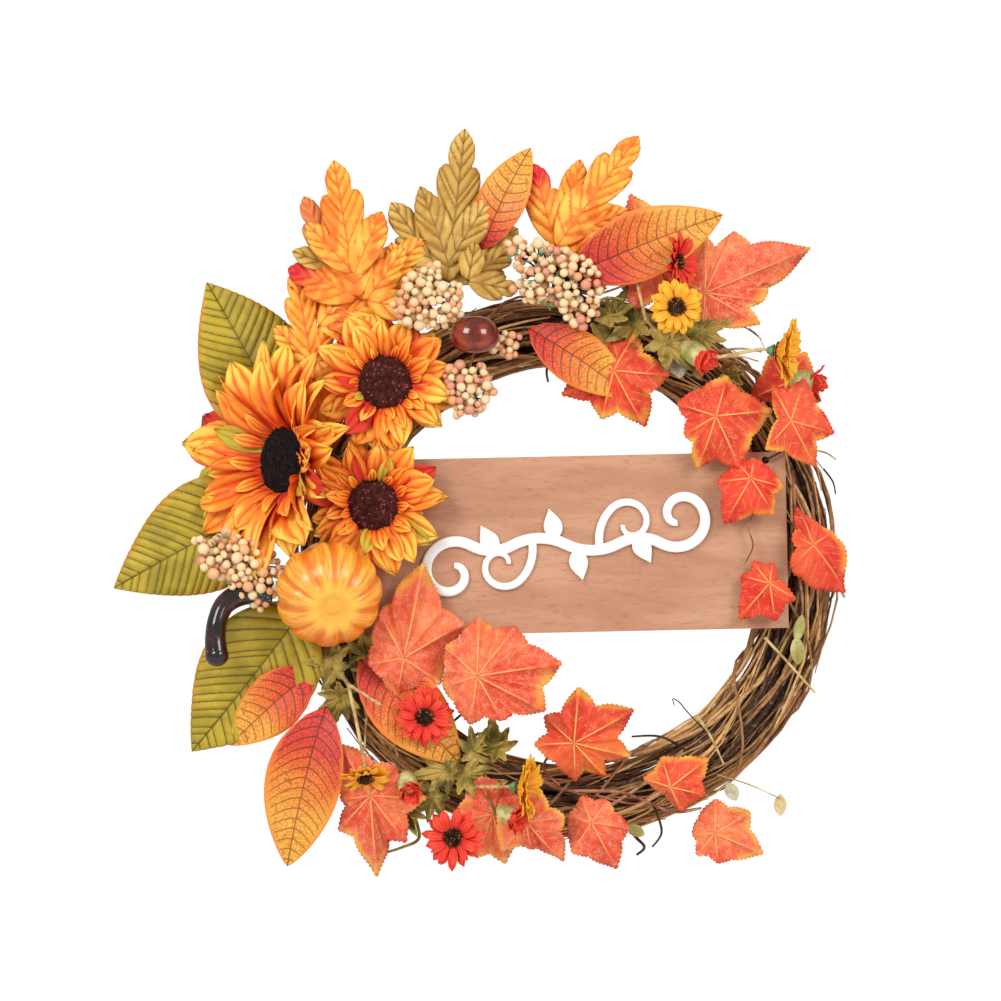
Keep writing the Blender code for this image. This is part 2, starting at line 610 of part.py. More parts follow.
def make_sprays():
    for name, (place, ahead, axis, radius, finish) in DAISIES.items():
        make_daisy(name, place, ahead, axis, radius, finish)
    for name, (root, knot, heads) in SPRAYS.items():
        start = spread(*root) + Vector((0, -(BUNDLE_RADIUS + GAP), 0))
        middle = forward(*knot)
        trunk = add_mesh(name, tube([start, (start + middle) / 2, middle], STEM_RADIUS * 1.25), stem_green)
        branches = []
        for head, way in heads.items():
            place, ahead, axis, _, _ = DAISIES[head]
            back = Vector(axis).normalized() * -1
            centre = forward(*place, ahead)
            points = [middle - (middle - start).normalized() * 0.0012]
            points += [forward(*point) for point in way]
            points += [centre + back * (0.0006 + SOCKET_DEPTH + 0.0035)]
            points += [centre + back * (0.0006 + SOCKET_DEPTH + 0.0010)]
            points += [centre + back * (0.0006 + PEG_PLAY)]
            radii = [STEM_RADIUS] * (len(points) - 2) + [PEG_RADIUS, PEG_RADIUS]
            branches.append(add_mesh(f"branch_to_{head}", tube(points, radii), stem_green))
        join_on(trunk, branches)


make_ring()
make_hanger()
make_sign()
make_long_leaves()
make_maple_leaves()
make_sunflowers()
make_pumpkin()
make_fruit()
make_sprays()
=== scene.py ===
# Harvest door wreath: the looks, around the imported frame.
# Lengths in the dictionaries are millimetres unless a note says otherwise; mm() turns them into metres.
import json
import math
import random

import bpy
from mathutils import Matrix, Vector, noise


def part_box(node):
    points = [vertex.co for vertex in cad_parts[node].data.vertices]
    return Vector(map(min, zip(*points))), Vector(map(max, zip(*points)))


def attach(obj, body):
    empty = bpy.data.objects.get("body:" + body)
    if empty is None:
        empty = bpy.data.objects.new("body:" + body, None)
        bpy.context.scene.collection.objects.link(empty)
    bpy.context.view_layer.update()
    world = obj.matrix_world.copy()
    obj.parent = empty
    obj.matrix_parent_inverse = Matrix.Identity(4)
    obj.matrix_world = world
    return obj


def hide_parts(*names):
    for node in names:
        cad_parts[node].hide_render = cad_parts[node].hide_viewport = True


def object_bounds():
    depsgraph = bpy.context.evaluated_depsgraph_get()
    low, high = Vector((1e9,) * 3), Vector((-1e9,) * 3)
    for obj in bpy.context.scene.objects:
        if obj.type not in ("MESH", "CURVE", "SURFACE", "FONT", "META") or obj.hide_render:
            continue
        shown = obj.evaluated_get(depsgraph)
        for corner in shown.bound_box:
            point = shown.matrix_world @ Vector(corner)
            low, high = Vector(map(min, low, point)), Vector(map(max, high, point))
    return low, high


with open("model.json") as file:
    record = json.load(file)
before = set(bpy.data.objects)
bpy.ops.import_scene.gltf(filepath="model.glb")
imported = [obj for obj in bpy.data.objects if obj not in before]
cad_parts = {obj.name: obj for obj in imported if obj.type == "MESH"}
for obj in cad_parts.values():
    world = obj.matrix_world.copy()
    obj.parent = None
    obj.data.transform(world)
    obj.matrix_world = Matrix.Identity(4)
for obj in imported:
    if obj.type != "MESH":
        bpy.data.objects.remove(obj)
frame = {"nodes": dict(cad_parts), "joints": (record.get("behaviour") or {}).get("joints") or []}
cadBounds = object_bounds()
print("frame loaded:", len(frame["nodes"]), "nodes")


def mm(value):
    return value * 0.001


def ringMiddle():
    lows = [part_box(f"vine_strand_{i}")[0] for i in (1, 2, 3)]
    highs = [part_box(f"vine_strand_{i}")[1] for i in (1, 2, 3)]
    low = [min(corner[i] for corner in lows) for i in range(3)]
    high = [max(corner[i] for corner in highs) for i in range(3)]
    return (Vector(low) + Vector(high)) / 2


ringCentre = ringMiddle()


def at(x, z, ahead=0.0):  # a place seen from the front: right of, above and ahead of the ring's centre
    return ringCentre + Vector((mm(x), -mm(ahead), mm(z)))


def tint(code):  # a screen colour such as "E8593A" as the linear numbers that shaders take
    parts = [int(code[i:i + 2], 16) / 255 for i in (0, 2, 4)]
    return tuple(p / 12.92 if p <= 0.04045 else ((p + 0.055) / 1.055) ** 2.4 for p in parts)


viewSetup = dict(distance=2600, frameWide=640.6, middleX=-41.3, middleZ=41.9)
lightSetup = dict(size=0.8, left=23, right=19, room=0.62, seenExtra=0.44)  # metres, watts, watts, strengths


def setCamera():
    camera = bpy.data.cameras.new("frontView")
    camera.sensor_width = 36
    camera.lens = 36 * viewSetup["distance"] / viewSetup["frameWide"]
    camera.clip_end = 20
    holder = bpy.data.objects.new("frontView", camera)
    holder.location = at(viewSetup["middleX"], viewSetup["middleZ"], viewSetup["distance"])
    holder.rotation_euler = (math.pi / 2, 0, 0)
    bpy.context.scene.collection.objects.link(holder)
    bpy.context.scene.camera = holder


def addLamp(name, place, power):
    lamp = bpy.data.lights.new(name, "AREA")
    lamp.size = lightSetup["size"]
    lamp.energy = power
    holder = bpy.data.objects.new(name, lamp)
    holder.location = ringCentre + Vector(place)
    holder.rotation_euler = (-Vector(place)).to_track_quat("-Z", "Y").to_euler()
    bpy.context.scene.collection.objects.link(holder)


def setLight():
    world = bpy.data.worlds.new("whiteRoom")
    bpy.context.scene.world = world
    world.use_nodes = True
    tree = world.node_tree
    back = tree.nodes["Background"]
    path = tree.nodes.new("ShaderNodeLightPath")
    mix = tree.nodes.new("ShaderNodeMath")
    mix.operation = "MULTIPLY_ADD"
    tree.links.new(path.outputs["Is Camera Ray"], mix.inputs[0])
    mix.inputs[1].default_value = lightSetup["seenExtra"]  # the room looks brighter than it lights
    mix.inputs[2].default_value = lightSetup["room"]
    tree.links.new(mix.outputs[0], back.inputs["Strength"])
    back.inputs["Color"].default_value = (1, 1, 1, 1)
    addLamp("leftBox", (-1.2, -1.7, 1.0), lightSetup["left"])
    addLamp("rightBox", (1.2, -1.7, 0.9), lightSetup["right"])
    bpy.context.scene.view_settings.view_transform = "Standard"
    bpy.context.scene.view_settings.look = "None"


# shader helpers: each returns a socket, and takes sockets or plain values
def feed(tree, socket, value):
    if isinstance(value, bpy.types.NodeSocket):
        tree.links.new(value, socket)
    elif isinstance(value, tuple) and socket.type == "RGBA":
        socket.default_value = (*value, 1)
    else:
        socket.default_value = value


def calc(tree, operation, first, second=0.0):
    made = tree.nodes.new("ShaderNodeMath")
    made.operation = operation
    feed(tree, made.inputs[0], first)
    feed(tree, made.inputs[1], second)
    return made.outputs[0]


def times(tree, first, second):
    return calc(tree, "MULTIPLY", first, second)


def plus(tree, first, second):
    return calc(tree, "ADD", first, second)


def fade(tree, value, start, end):  # 0 at start, 1 at end, smooth between
    made = tree.nodes.new("ShaderNodeMapRange")
    made.interpolation_type = "SMOOTHSTEP"
    feed(tree, made.inputs["Value"], value)
    made.inputs["From Min"].default_value = start
    made.inputs["From Max"].default_value = end
    return made.outputs["Result"]


def blendColour(tree, share, first, second):
    made = tree.nodes.new("ShaderNodeMix")
    made.data_type = "RGBA"
    feed(tree, made.inputs["Factor"], share)
    feed(tree, made.inputs[6], first)
    feed(tree, made.inputs[7], second)
    return made.outputs[2]


def mark(tree, name):  # the three numbers that a piece's points carry under this name
    made = tree.nodes.new("ShaderNodeAttribute")
    made.attribute_name = name
    split = tree.nodes.new("ShaderNodeSeparateXYZ")
    tree.links.new(made.outputs["Vector"], split.inputs[0])
    return made.outputs["Vector"], split.outputs[0], split.outputs[1], split.outputs[2]


def stretch(tree, vector, scale):
    made = tree.nodes.new("ShaderNodeMapping")
    feed(tree, made.inputs["Vector"], vector)
    made.inputs["Scale"].default_value = scale
    return made.outputs[0]


def speck(tree, vector, scale, detail=3.0, rough=0.55, twist=0.0):
    made = tree.nodes.new("ShaderNodeTexNoise")
    feed(tree, made.inputs["Vector"], vector)
    made.inputs["Scale"].default_value = scale
    made.inputs["Detail"].default_value = detail
    made.inputs["Roughness"].default_value = rough
    made.inputs["Distortion"].default_value = twist
    return made.outputs["Fac"]


def cells(tree, vector, scale, feature="DISTANCE_TO_EDGE"):
    made = tree.nodes.new("ShaderNodeTexVoronoi")
    made.feature = feature
    feed(tree, made.inputs["Vector"], vector)
    made.inputs["Scale"].default_value = scale
    return made.outputs["Distance"]


def bump(tree, shader, height, strength, distance):
    made = tree.nodes.new("ShaderNodeBump")
    made.inputs["Strength"].default_value = strength
    made.inputs["Distance"].default_value = distance
    feed(tree, made.inputs["Height"], height)
    tree.links.new(made.outputs[0], shader.inputs["Normal"])


def newMaterial(name, roughness, specular):
    made = bpy.data.materials.new(name)
    made.use_nodes = True
    shader = made.node_tree.nodes["Principled BSDF"]
    shader.inputs["Roughness"].default_value = roughness
    shader.inputs["Specular IOR Level"].default_value = specular
    return made, made.node_tree, shader


def own(tree):  # the piece's own coordinates, in metres
    made = tree.nodes.new("ShaderNodeTexCoord")
    return made.outputs["Object"]


# a build is a mesh in the making: its points and faces, and for each point two sets of three numbers that
# its material reads, plan for where it lies on the flat sheet or round the tube, mark for shades and edges
def newBuild():
    return dict(points=[], faces=[], plan=[], mark=[], finish=[])


def addPoint(build, place, plan=(0, 0, 0), marked=(0, 0, 0)):
    build["points"].append(tuple(place))
    build["plan"].append(tuple(plan))
    build["mark"].append(tuple(marked))
    return len(build["points"]) - 1


def addFace(build, corners, finish=0):
    build["faces"].append(tuple(corners))
    build["finish"].append(finish)


def joinRows(build, rows, around=False, finish=0):  # rows are lists of point numbers of equal length
    for first, second in zip(rows, rows[1:]):
        count = len(first)
        for k in range(count if around else count - 1):
            n = (k + 1) % count
            addFace(build, (first[k], first[n], second[n], second[k]), finish)


def finishPiece(name, build, materials, body="wreath", node=None, thick=0.0):
    mesh = bpy.data.meshes.new(name)
    mesh.from_pydata(build["points"], [], build["faces"])
    for key in ("plan", "mark"):
        stored = mesh.attributes.new(key, "FLOAT_VECTOR", "POINT")
        stored.data.foreach_set("vector", [number for row in build[key] for number in row])
    for entry in materials:
        mesh.materials.append(entry)
    mesh.polygons.foreach_set("material_index", build["finish"])
    mesh.polygons.foreach_set("use_smooth", [True] * len(mesh.polygons))
    mesh.update()
    piece = bpy.data.objects.new(name, mesh)
    bpy.context.scene.collection.objects.link(piece)
    if thick:
        thicken = piece.modifiers.new("thickness", "SOLIDIFY")
        thicken.thickness = mm(thick)
        thicken.offset = 0
    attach(piece, body)
    if node:
        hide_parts(*([node] if isinstance(node, str) else node))
    return piece


def tubeRings(build, line, radii, sides=6, marked=None, finish=0):
    # a round tube along a line of points; marked gives each point's mark from its share of the length
    count = len(line)
    total = sum((line[i + 1] - line[i]).length for i in range(count - 1)) or 1.0
    rows = []
    normal = None
    run = 0.0
    for i, point in enumerate(line):
        if i:
            run += (point - line[i - 1]).length
        along = line[min(i + 1, count - 1)] - line[max(i - 1, 0)]
        along = along.normalized() if along.length > 1e-9 else Vector((0, 0, 1))
        if normal is None:
            normal = along.orthogonal().normalized()
        normal = (normal - along * normal.dot(along)).normalized()
        across = along.cross(normal)
        radius = radii[i] if isinstance(radii, list) else radii
        numbers = marked(run / total) if marked else (0, 0, 0)
        row = []
        for k in range(sides):
            turn = 2 * math.pi * k / sides
            spot = point + (normal * math.cos(turn) + across * math.sin(turn)) * radius
            row.append(addPoint(build, spot, (k / sides, run, 0), numbers))
        rows.append(row)
    joinRows(build, rows, True, finish)
    addFace(build, rows[0][::-1], finish)
    addFace(build, rows[-1], finish)


def smoothLine(points, steps):  # a smooth curve through given points
    line = []
    last = len(points) - 1
    for i in range(last):
        before, start = points[max(i - 1, 0)], points[i]
        end, after = points[i + 1], points[min(i + 2, last)]
        for s in range(steps):
            t = s / steps
            line.append(0.5 * (2 * start + (end - before) * t
                               + (2 * before - 5 * start + 4 * end - after) * t * t
                               + (3 * start - before - 3 * end + after) * t * t * t))
    return line + [points[-1]]


# the vine ring is many thin twigs wound round one another
vineRing = dict(
    seed=11, midRadius=150.0, bundleRadial=24.0, bundleDepth=19.5, strayTwigs=60,
    # twigs, from and to as shares of the bundle, thinnest and thickest radius,
    # shortest and longest run along the ring in radians, tone scale (the core's 0.10 is painted shade deep
    # inside the bundle)
    core=(50, 0.0, 0.62, 1.9, 3.4, (2.2, 5.5), 0.10),
    skin=(340, 0.62, 1.0, 0.6, 1.6, (0.6, 2.8), 1.0),
    # turns round the bundle, where they start, distance from its middle as a share of the bundle
    bindings=((7, 0.4, 1.03), (5, 2.6, 1.05)), bindingRadius=0.9,
    darkBark="3A1E12", bark="91592F", paleBark="EDBA76", spots="4A2A18", streaks="F0CE97", knots="5A3018",
)


def vineMaterial():
    made, tree, shader = newMaterial("vineBark", 0.62, 0.4)
    plan = mark(tree, "plan")[0]
    tone = mark(tree, "mark")[1]
    grain = speck(tree, stretch(tree, plan, (9, 220, 1)), 1.0, 4, 0.65)
    knots = speck(tree, own(tree), 90, 2, 0.6)
    body = blendColour(tree, fade(tree, tone, 0.0, 0.40), tint(vineRing["darkBark"]), tint(vineRing["bark"]))
    body = blendColour(tree, fade(tree, tone, 0.40, 1.0), body, tint(vineRing["paleBark"]))
    body = blendColour(tree, times(tree, fade(tree, grain, 0.50, 0.68), 0.75), body, tint(vineRing["spots"]))
    body = blendColour(tree, times(tree, fade(tree, grain, 0.46, 0.30), 0.6), body, tint(vineRing["streaks"]))
    body = blendColour(tree, times(tree, fade(tree, knots, 0.56, 0.72), 0.55), body, tint(vineRing["knots"]))
    tree.links.new(body, shader.inputs["Base Color"])
    bump(tree, shader, grain, 0.5, 0.0008)
    return made


def twigLine(rng, start, sweep, orbit, phase, winds, drift, steps):
    line = []
    radial, depth = vineRing["bundleRadial"], vineRing["bundleDepth"]
    wobble = rng.uniform(0, 10)
    for i in range(steps + 1):
        share = i / steps
        turn = start + sweep * share
        wind = phase + winds * share * 2 * math.pi
        size = orbit + drift * math.sin(math.pi * share)
        shake = noise.noise(Vector((wobble, turn * 4.5, 0.3))) * 3.2
        shakeDepth = noise.noise(Vector((wobble, turn * 4.5, 7.3))) * 2.4
        r = vineRing["midRadius"] + size * radial * math.cos(wind) + shake
        y = size * depth * math.sin(wind) + shakeDepth
        line.append(at(r * math.cos(turn), r * math.sin(turn), y))
    return line


def addTwigs(build, rng, count, low, high, thin, thick, sweeps, litShare):
    for _ in range(count):
        sweep = rng.uniform(*sweeps)
        start = rng.uniform(0, 2 * math.pi)
        orbit = math.sqrt(rng.uniform(low * low, high * high))
        phase = rng.uniform(0, 6.28)
        winds = rng.uniform(-0.62, 0.62) * sweep / 2
        drift = rng.uniform(-0.14, 0.05)
        line = twigLine(rng, start, sweep, orbit, phase, winds, drift, max(8, round(sweep * 10)))
        size = rng.uniform(thin, thick) if rng.random() < 0.6 else rng.uniform(thin, thin * 1.5)
        tone = rng.uniform(0.0, 0.35) if rng.random() < 0.28 else rng.uniform(0.5, 1.0)
        lump = rng.uniform(0, 20)
        radii = []
        for i in range(len(line)):
            taper = min(1.0, 0.45 + 3.0 * min(i, len(line) - 1 - i) / len(line))
            radii.append(mm(size * taper * (1 + 0.25 * noise.noise(Vector((lump, i * 0.9, 0))))))
        # the core twigs' tone is scaled down here: painted shade inside the bundle
        tubeRings(build, line, radii, 6, lambda share, tone=tone * litShare: (tone, share, 0))


def addStrayEnds(build, rng):  # loose ends that stand off the bundle
    for _ in range(vineRing["strayTwigs"]):
        start = rng.uniform(0, 2 * math.pi)
        way = rng.choice((-1, 1))
        outside = rng.choice((-1, 1, 1))
        lift = rng.uniform(3, 9)
        line = []
        for i in range(9):
            share = i / 8
            turn = start + way * 0.24 * share
            r = vineRing["midRadius"] + outside * (17 + lift * share ** 1.6)
            ahead = rng.uniform(-1, 1) + 12 * math.sin(start * 3)
            line.append(at(r * math.cos(turn), r * math.sin(turn), ahead))
        tone = rng.uniform(0.15, 0.8)
        radii = [mm(0.9 - 0.07 * i) for i in range(9)]
        tubeRings(build, line, radii, 5, lambda share, tone=tone: (tone, share, 0))


def makeVineRing(bark):
    rng = random.Random(vineRing["seed"])
    build = newBuild()
    addTwigs(build, rng, *vineRing["core"])
    addTwigs(build, rng, *vineRing["skin"])
    addStrayEnds(build, rng)
    finishPiece("vineTwigs", build, [bark], node=[f"vine_strand_{i}" for i in (1, 2, 3)])


def makeBindings(bark):  # the vines that hold the bundle together
    build = newBuild()
    for turns, phase, reach in vineRing["bindings"]:
        line = []
        steps = turns * 16
        for i in range(steps + 1):
            turn = 2 * math.pi * i / steps
            wind = phase + turns * turn
            r = vineRing["midRadius"] + reach * vineRing["bundleRadial"] * math.cos(wind)
            ahead = reach * vineRing["bundleDepth"] * math.sin(wind)
            line.append(at(r * math.cos(turn), r * math.sin(turn), ahead))
        tubeRings(build, line, mm(vineRing["bindingRadius"]), 6, lambda share: (0.55, share, 0))
    finishPiece("bindingVines", build, [bark], node="binding_vine")


signLook = dict(tan="C48F70", pale="D0A080", dark="A87458", flecks="8A5A42", thick=3.0, stem=7.0, leafLong=20,
                leafWide=11.5, lean=1.2)


def plywoodMaterial():
    made, tree, shader = newMaterial("plywoodBoard", 0.6, 0.3)
    place = own(tree)
    rings = speck(tree, stretch(tree, place, (3.5, 1, 14)), 3.2, 4, 0.6, 0.6)
    fibre = speck(tree, stretch(tree, place, (60, 30, 380)), 1.0, 3, 0.6)
    flecks = speck(tree, stretch(tree, place, (140, 60, 700)), 1.0, 2, 0.5)
    dark, pale = tint(signLook["dark"]), tint(signLook["pale"])
    ground = blendColour(tree, fade(tree, rings, 0.30, 0.70), dark, pale)
    ground = blendColour(tree, 0.45, ground, tint(signLook["tan"]))
    ground = blendColour(tree, times(tree, fade(tree, fibre, 0.50, 0.72), 0.30), ground, dark)
    dots = times(tree, fade(tree, flecks, 0.58, 0.72), 0.30)
    ground = blendColour(tree, dots, ground, tint(signLook["flecks"]))
    tree.links.new(ground, shader.inputs["Base Color"])
    bump(tree, shader, fibre, 0.2, 0.0004)
    return made


def paintMaterial():
    made, tree, shader = newMaterial("whitePaint", 0.5, 0.4)
    cloud = speck(tree, own(tree), 90, 3, 0.6)
    tree.links.new(blendColour(tree, cloud, tint("F4F1EC"), tint("FFFFFF")), shader.inputs["Base Color"])
    bump(tree, shader, speck(tree, own(tree), 900, 2, 0.5), 0.08, 0.0003)
    return made


def wireMaterial():
    made, tree, shader = newMaterial("annealedWire", 0.38, 0.5)
    shade = speck(tree, own(tree), 500, 3, 0.6)
    tree.links.new(blendColour(tree, shade, tint("2B2422"), tint("6A5D55")), shader.inputs["Base Color"])
    shader.inputs["Metallic"].default_value = 0.85
    bump(tree, shader, shade, 0.2, 0.0003)
    return made


def dress(node, material):  # a CAD part that keeps its shape gets its finish
    slots = frame["nodes"][node].data.materials
    slots.clear()
    slots.append(material)


def scrollLine(start, heading, arcs):
    # flat points along arcs that are given as (turn in degrees, first radius, last radius)
    x, z = start
    points = [(x, z)]
    for turn, first, last in arcs:
        count = max(2, round(abs(turn) / 7))  # a point every seven degrees
        for k in range(count):
            radius = first + (last - first) * (k + 0.5) / count
            heading += turn / count / 2
            run = 2 * radius * math.sin(math.radians(abs(turn) / count / 2))
            x += run * math.cos(math.radians(heading))
            z += run * math.sin(math.radians(heading))
            heading += turn / count / 2
            points.append((x, z))
    return points


def strokeSheet(build, points, widths, place, thick):  # a rounded bar of painted wood along flat points
    last = len(points) - 1
    rows = []
    for i, (x, z) in enumerate(points):
        before, after = points[max(i - 1, 0)], points[min(i + 1, last)]
        along = Vector((after[0] - before[0], after[1] - before[1])).normalized()
        half = widths(i / last) / 2
        row = []
        for k in range(14):
            turn = 2 * math.pi * k / 14
            side = math.copysign(abs(math.cos(turn)) ** 0.6, math.cos(turn)) * half
            out = math.copysign(abs(math.sin(turn)) ** 0.6, math.sin(turn)) * thick / 2
            row.append(addPoint(build, place(x - along.y * side, z + along.x * side, out)))
        rows.append(row)
    joinRows(build, rows, True)
    addFace(build, rows[0][::-1])
    addFace(build, rows[-1])


def makeOrnament(paint):
    # a point-symmetric scroll: a wave that ends in curls, a smaller curl on each side, and leaves
    low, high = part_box("sign_flourish")
    middle = (low + high) / 2
    lean = math.radians(signLook["lean"])

    def place(x, z, out):
        return middle + Vector((mm(x * math.cos(lean) - z * math.sin(lean)), -mm(out),
                                mm(x * math.sin(lean) + z * math.cos(lean))))

    def stemWidth(share):
        return stem * (0.45 + 0.55 * math.sin(math.pi * share) ** 0.45)

    def curlWidth(share):
        return stem * (0.75 - 0.35 * share)

    def leafWidth(share):
        return 0.6 + signLook["leafWide"] * math.sin(math.pi * share ** 0.8) ** 1.1

    stem, thick, leafLong = signLook["stem"], signLook["thick"], signLook["leafLong"]
    half = scrollLine((0, 0), -28, [(56, 36, 36), (-58, 27, 27), (400, 21, 4)])
    build = newBuild()
    whole = [(-x, -z) for x, z in half[:0:-1]] + half
    strokeSheet(build, whole, stemWidth, place, thick)
    for side in (1, -1):
        curlWay = 105 if side > 0 else 285
        curl = scrollLine((side * 22, side * -5.5), curlWay, [(-60, 30, 26), (-330, 15, 4)])
        strokeSheet(build, curl, curlWidth, place, thick - 0.4)
        for number, (x, z, heading) in enumerate(((6, -3, -78), (44, 5, -62))):
            slope = math.radians(heading if side > 0 else heading + 180)
            steps = [leafLong * k / 12 for k in range(13)]
            leaf = [(side * x + math.cos(slope) * step, side * z + math.sin(slope) * step) for step in steps]
            strokeSheet(build, leaf, leafWidth, place, thick - 0.7 - 0.2 * number)
    finishPiece("signOrnament", build, [paint], "sign", "sign_flourish")


# every leaf, lobe and petal is laid out flat first, then placed
def axesFor(along, face):  # along the sheet, across it, and out of its face
    along = along.normalized()
    face = (face - along * face.dot(along)).normalized()
    return along, along.cross(face).normalized(), face


def marginAt(share, width, widest, fullness):
    if share <= 0 or share >= 1:
        return 0.0
    return width / 2 * math.sin(math.pi * share ** (math.log(0.5) / math.log(widest))) ** fullness


def pinnateSheet(build, base, tip, face, look, rng, tone):
    # rows of points run along the side veins, so that the sheet can swell between them;
    # a mark is (0 at the midrib to 1 at the edge, swelling between the veins, tone)
    along, across, out = axesFor(tip - base, face)
    length = (tip - base).length
    width = mm(look["width"])
    perVein = look["perVein"]
    rows = max(6, round(length / mm(look["veinPitch"])) * perVein)
    shares = (0.0, 0.06, 0.22, 0.42, 0.62, 0.82, 1.0)
    lean = math.radians(look["veinLean"])
    bend = look.get("veinBend", 0.0) / width
    lobes, bite = look.get("lobes", 0), look.get("bite", 0.0)
    drift = rng.uniform(0, 50)
    grid = {}
    for i in range(rows + 1):
        uneven = look.get("uneven", 0) * noise.noise(Vector((i / perVein * 0.9, drift, 0)))
        start = i / rows + uneven * math.sin(math.pi * i / rows)
        angle = lean + (math.radians(84) - lean) * max(0.0, 1 - start / 0.3) ** 2
        swell = abs(math.sin(math.pi * i / perVein))
        notch = 1 - bite * (1 - abs(math.sin(math.pi * lobes * start ** 0.9)) ** 0.7) if lobes else 1.0
        for side in (-1, 1):
            low, high = 0.0, (1 - start) * length / max(math.cos(angle), 0.05)
            for _ in range(22):
                run = (low + high) / 2
                y = start * length + run * math.cos(angle) + bend * run * run
                margin = notch * marginAt(y / length, width, look["widest"], look["fullness"])
                outside = run * math.sin(angle) > margin
                low, high = (low, run) if outside else (run, high)
            reach = low + mm(look.get("teeth", 0)) * swell * min(1, 4 * (1 - start))
            for s, share in enumerate(shares):
                if share == 0 and side == 1:
                    grid[i, 1, 0] = grid[i, -1, 0]
                    continue
                run = reach * share
                x = side * run * math.sin(angle)
                y = start * length + run * math.cos(angle) + bend * run * run
                away = abs(x) / (width / 2)
                body = math.sin(math.pi * min(1.0, share * 1.02)) ** 0.4 if 0 < share < 1 else 0.2 * share
                lift = mm(look["ridge"]) * (swell - 0.5) * 2 * body
                lift += look["fold"] * abs(x) - mm(look["groove"]) * (share == 0)
                lift += look.get("bow", 0) * length * math.sin(math.pi * y / length)
                lift += look["nod"] * length * (y / length) ** 2
                ripple = noise.noise(Vector((x * 28 + drift, y * 22, drift)))
                lift += mm(look["curl"]) * (0.3 + away) * ripple
                spot = base + across * x + along * y + out * lift
                plan = (x * 1000, y * 1000, length * 1000)
                grid[i, side, s] = addPoint(build, spot, plan, (share, swell, tone))
    for i in range(rows):
        for side in (-1, 1):
            for s in range(len(shares) - 1):
                corners = (grid[i, side, s], grid[i, side, s + 1],
                           grid[i + 1, side, s + 1], grid[i + 1, side, s])
                addFace(build, corners if side == 1 else corners[::-1])


def petalSheet(build, base, along, face, length, look, rng, tone):
    # a grooved petal; a mark is (0 at its foot to 1 at its tip, height of its grooves, tone)
    along, across, out = axesFor(along, face)
    rows, columns, grooves = look["rows"], look["columns"], look["grooves"]
    width = length * look["slender"] * rng.uniform(0.88, 1.12)
    lift, droop = look["lift"] * rng.uniform(0.6, 1.4), look["droop"] * rng.uniform(0.2, 1.7)
    twist = rng.gauss(0, look["twist"])
    skew = rng.uniform(-0.12, 0.12)
    phase = rng.uniform(-0.6, 0.6)
    table = []
    for i in range(rows + 1):
        v = i / rows
        half = max(marginAt(0.06 + 0.94 * v, width, look["widest"], look["fullness"]), width * 0.02)
        row = []
        for j in range(columns + 1):
            s = 2 * j / columns - 1
            wave = math.cos(grooves * math.pi * s + phase)
            y = length * (v - look["notch"] * (0.5 - 0.5 * wave) * v ** 5)
            x = s * half + skew * length * v * v
            h = length * (lift * math.sin(math.pi * v * 0.62) - droop * v ** 3)
            h += look["cup"] * half * s * s + half * twist * s * v * 2
            groove = mm(look["groove"]) * math.sin(math.pi * min(1, v * 0.9 + 0.1))
            h += groove * wave * (1 - abs(s) ** 4)
            row.append(addPoint(build, base + across * x + along * y + out * h,
                                (s * half * 1000, y * 1000, length * 1000), (v, 0.5 + 0.5 * wave, tone)))
        table.append(row)
    joinRows(build, table)


def mapleOutline(tips, notch, teeth):
    # half lobes as lists of flat points from the tip to the notch beside it; tips are (degrees, millimetres)
    lobes = []
    count = len(tips)
    for i, (degrees, reach) in enumerate(tips):
        for side in (-1, 1):
            otherDegrees, otherReach = tips[(i + side) % count]
            gap = side * (otherDegrees - degrees) % 360
            deep = notch if gap <= 100 else 0.30  # a wide gap beside the stem is cut deeper
            lean = gap * reach ** 0.5 / (reach ** 0.5 + otherReach ** 0.5)
            angle = math.radians(degrees + side * lean)
            valley = Vector((math.cos(angle), math.sin(angle))) * deep * (reach + otherReach) / 2
            slope = math.radians(degrees)
            tip = Vector((math.cos(slope), math.sin(slope))) * reach
            chord = valley - tip
            outward = Vector((chord.y, -chord.x)).normalized() * side
            steps = max(4, 4 * round(chord.length / (2 * teeth["pitch"])))
            line = []
            for k in range(steps + 1):
                share = k / steps
                swell = teeth["bulge"] * chord.length * math.sin(math.pi * share ** 1.5)
                bite = teeth["depth"] * (k % 2) * (share < 0.97)
                line.append(tip + chord * share + outward * (swell + bite))
            lobes.append((math.radians(degrees), reach, side, line))
    return lobes


def mapleSheet(build, place, tips, look, rng, face):
    # lobes that share a junction, folded along their midribs; a mark is (0 in the middle to 1 at the edge,
    # tone, 0 at the lobe's tip to 1 at its notch)
    tips = sorted(tips, key=lambda tip: tip[0] % 360)
    lobes = mapleOutline(tips, look["notch"], look)
    out = face.normalized()
    upright = Vector((0, 0, 1)) - out * out.z
    upright.normalize()
    sideways = upright.cross(out)
    drift = rng.uniform(0, 60)
    rings = (0.0, 0.12, 0.28, 0.46, 0.64, 0.8, 0.92, 1.0)
    tone = rng.random()
    for angle, reach, side, line in lobes:
        axis = Vector((math.cos(angle), math.sin(angle)))
        normal = Vector((-axis.y, axis.x))
        table = []
        for k, edge in enumerate(line):
            row = []
            for ring in rings:
                flat = edge * ring
                v, u = flat.dot(axis), flat.dot(normal)
                share = k / (len(line) - 1)
                h = -look["fold"] * flat.length * math.sin(math.pi * share) * 0.9
                ripple = noise.noise(Vector((flat.x * 0.035 + drift, flat.y * 0.035, drift)))
                h += look["curl"] * ring ** 1.5 * ripple
                h += look["cup"] * ring * ring
                spot = place + (sideways * mm(flat.x) + upright * mm(flat.y)) + out * mm(h)
                row.append(addPoint(build, spot, (u, v, reach), (ring, tone, share)))
            table.append(row)
        joinRows(build, table if side == -1 else table[::-1])


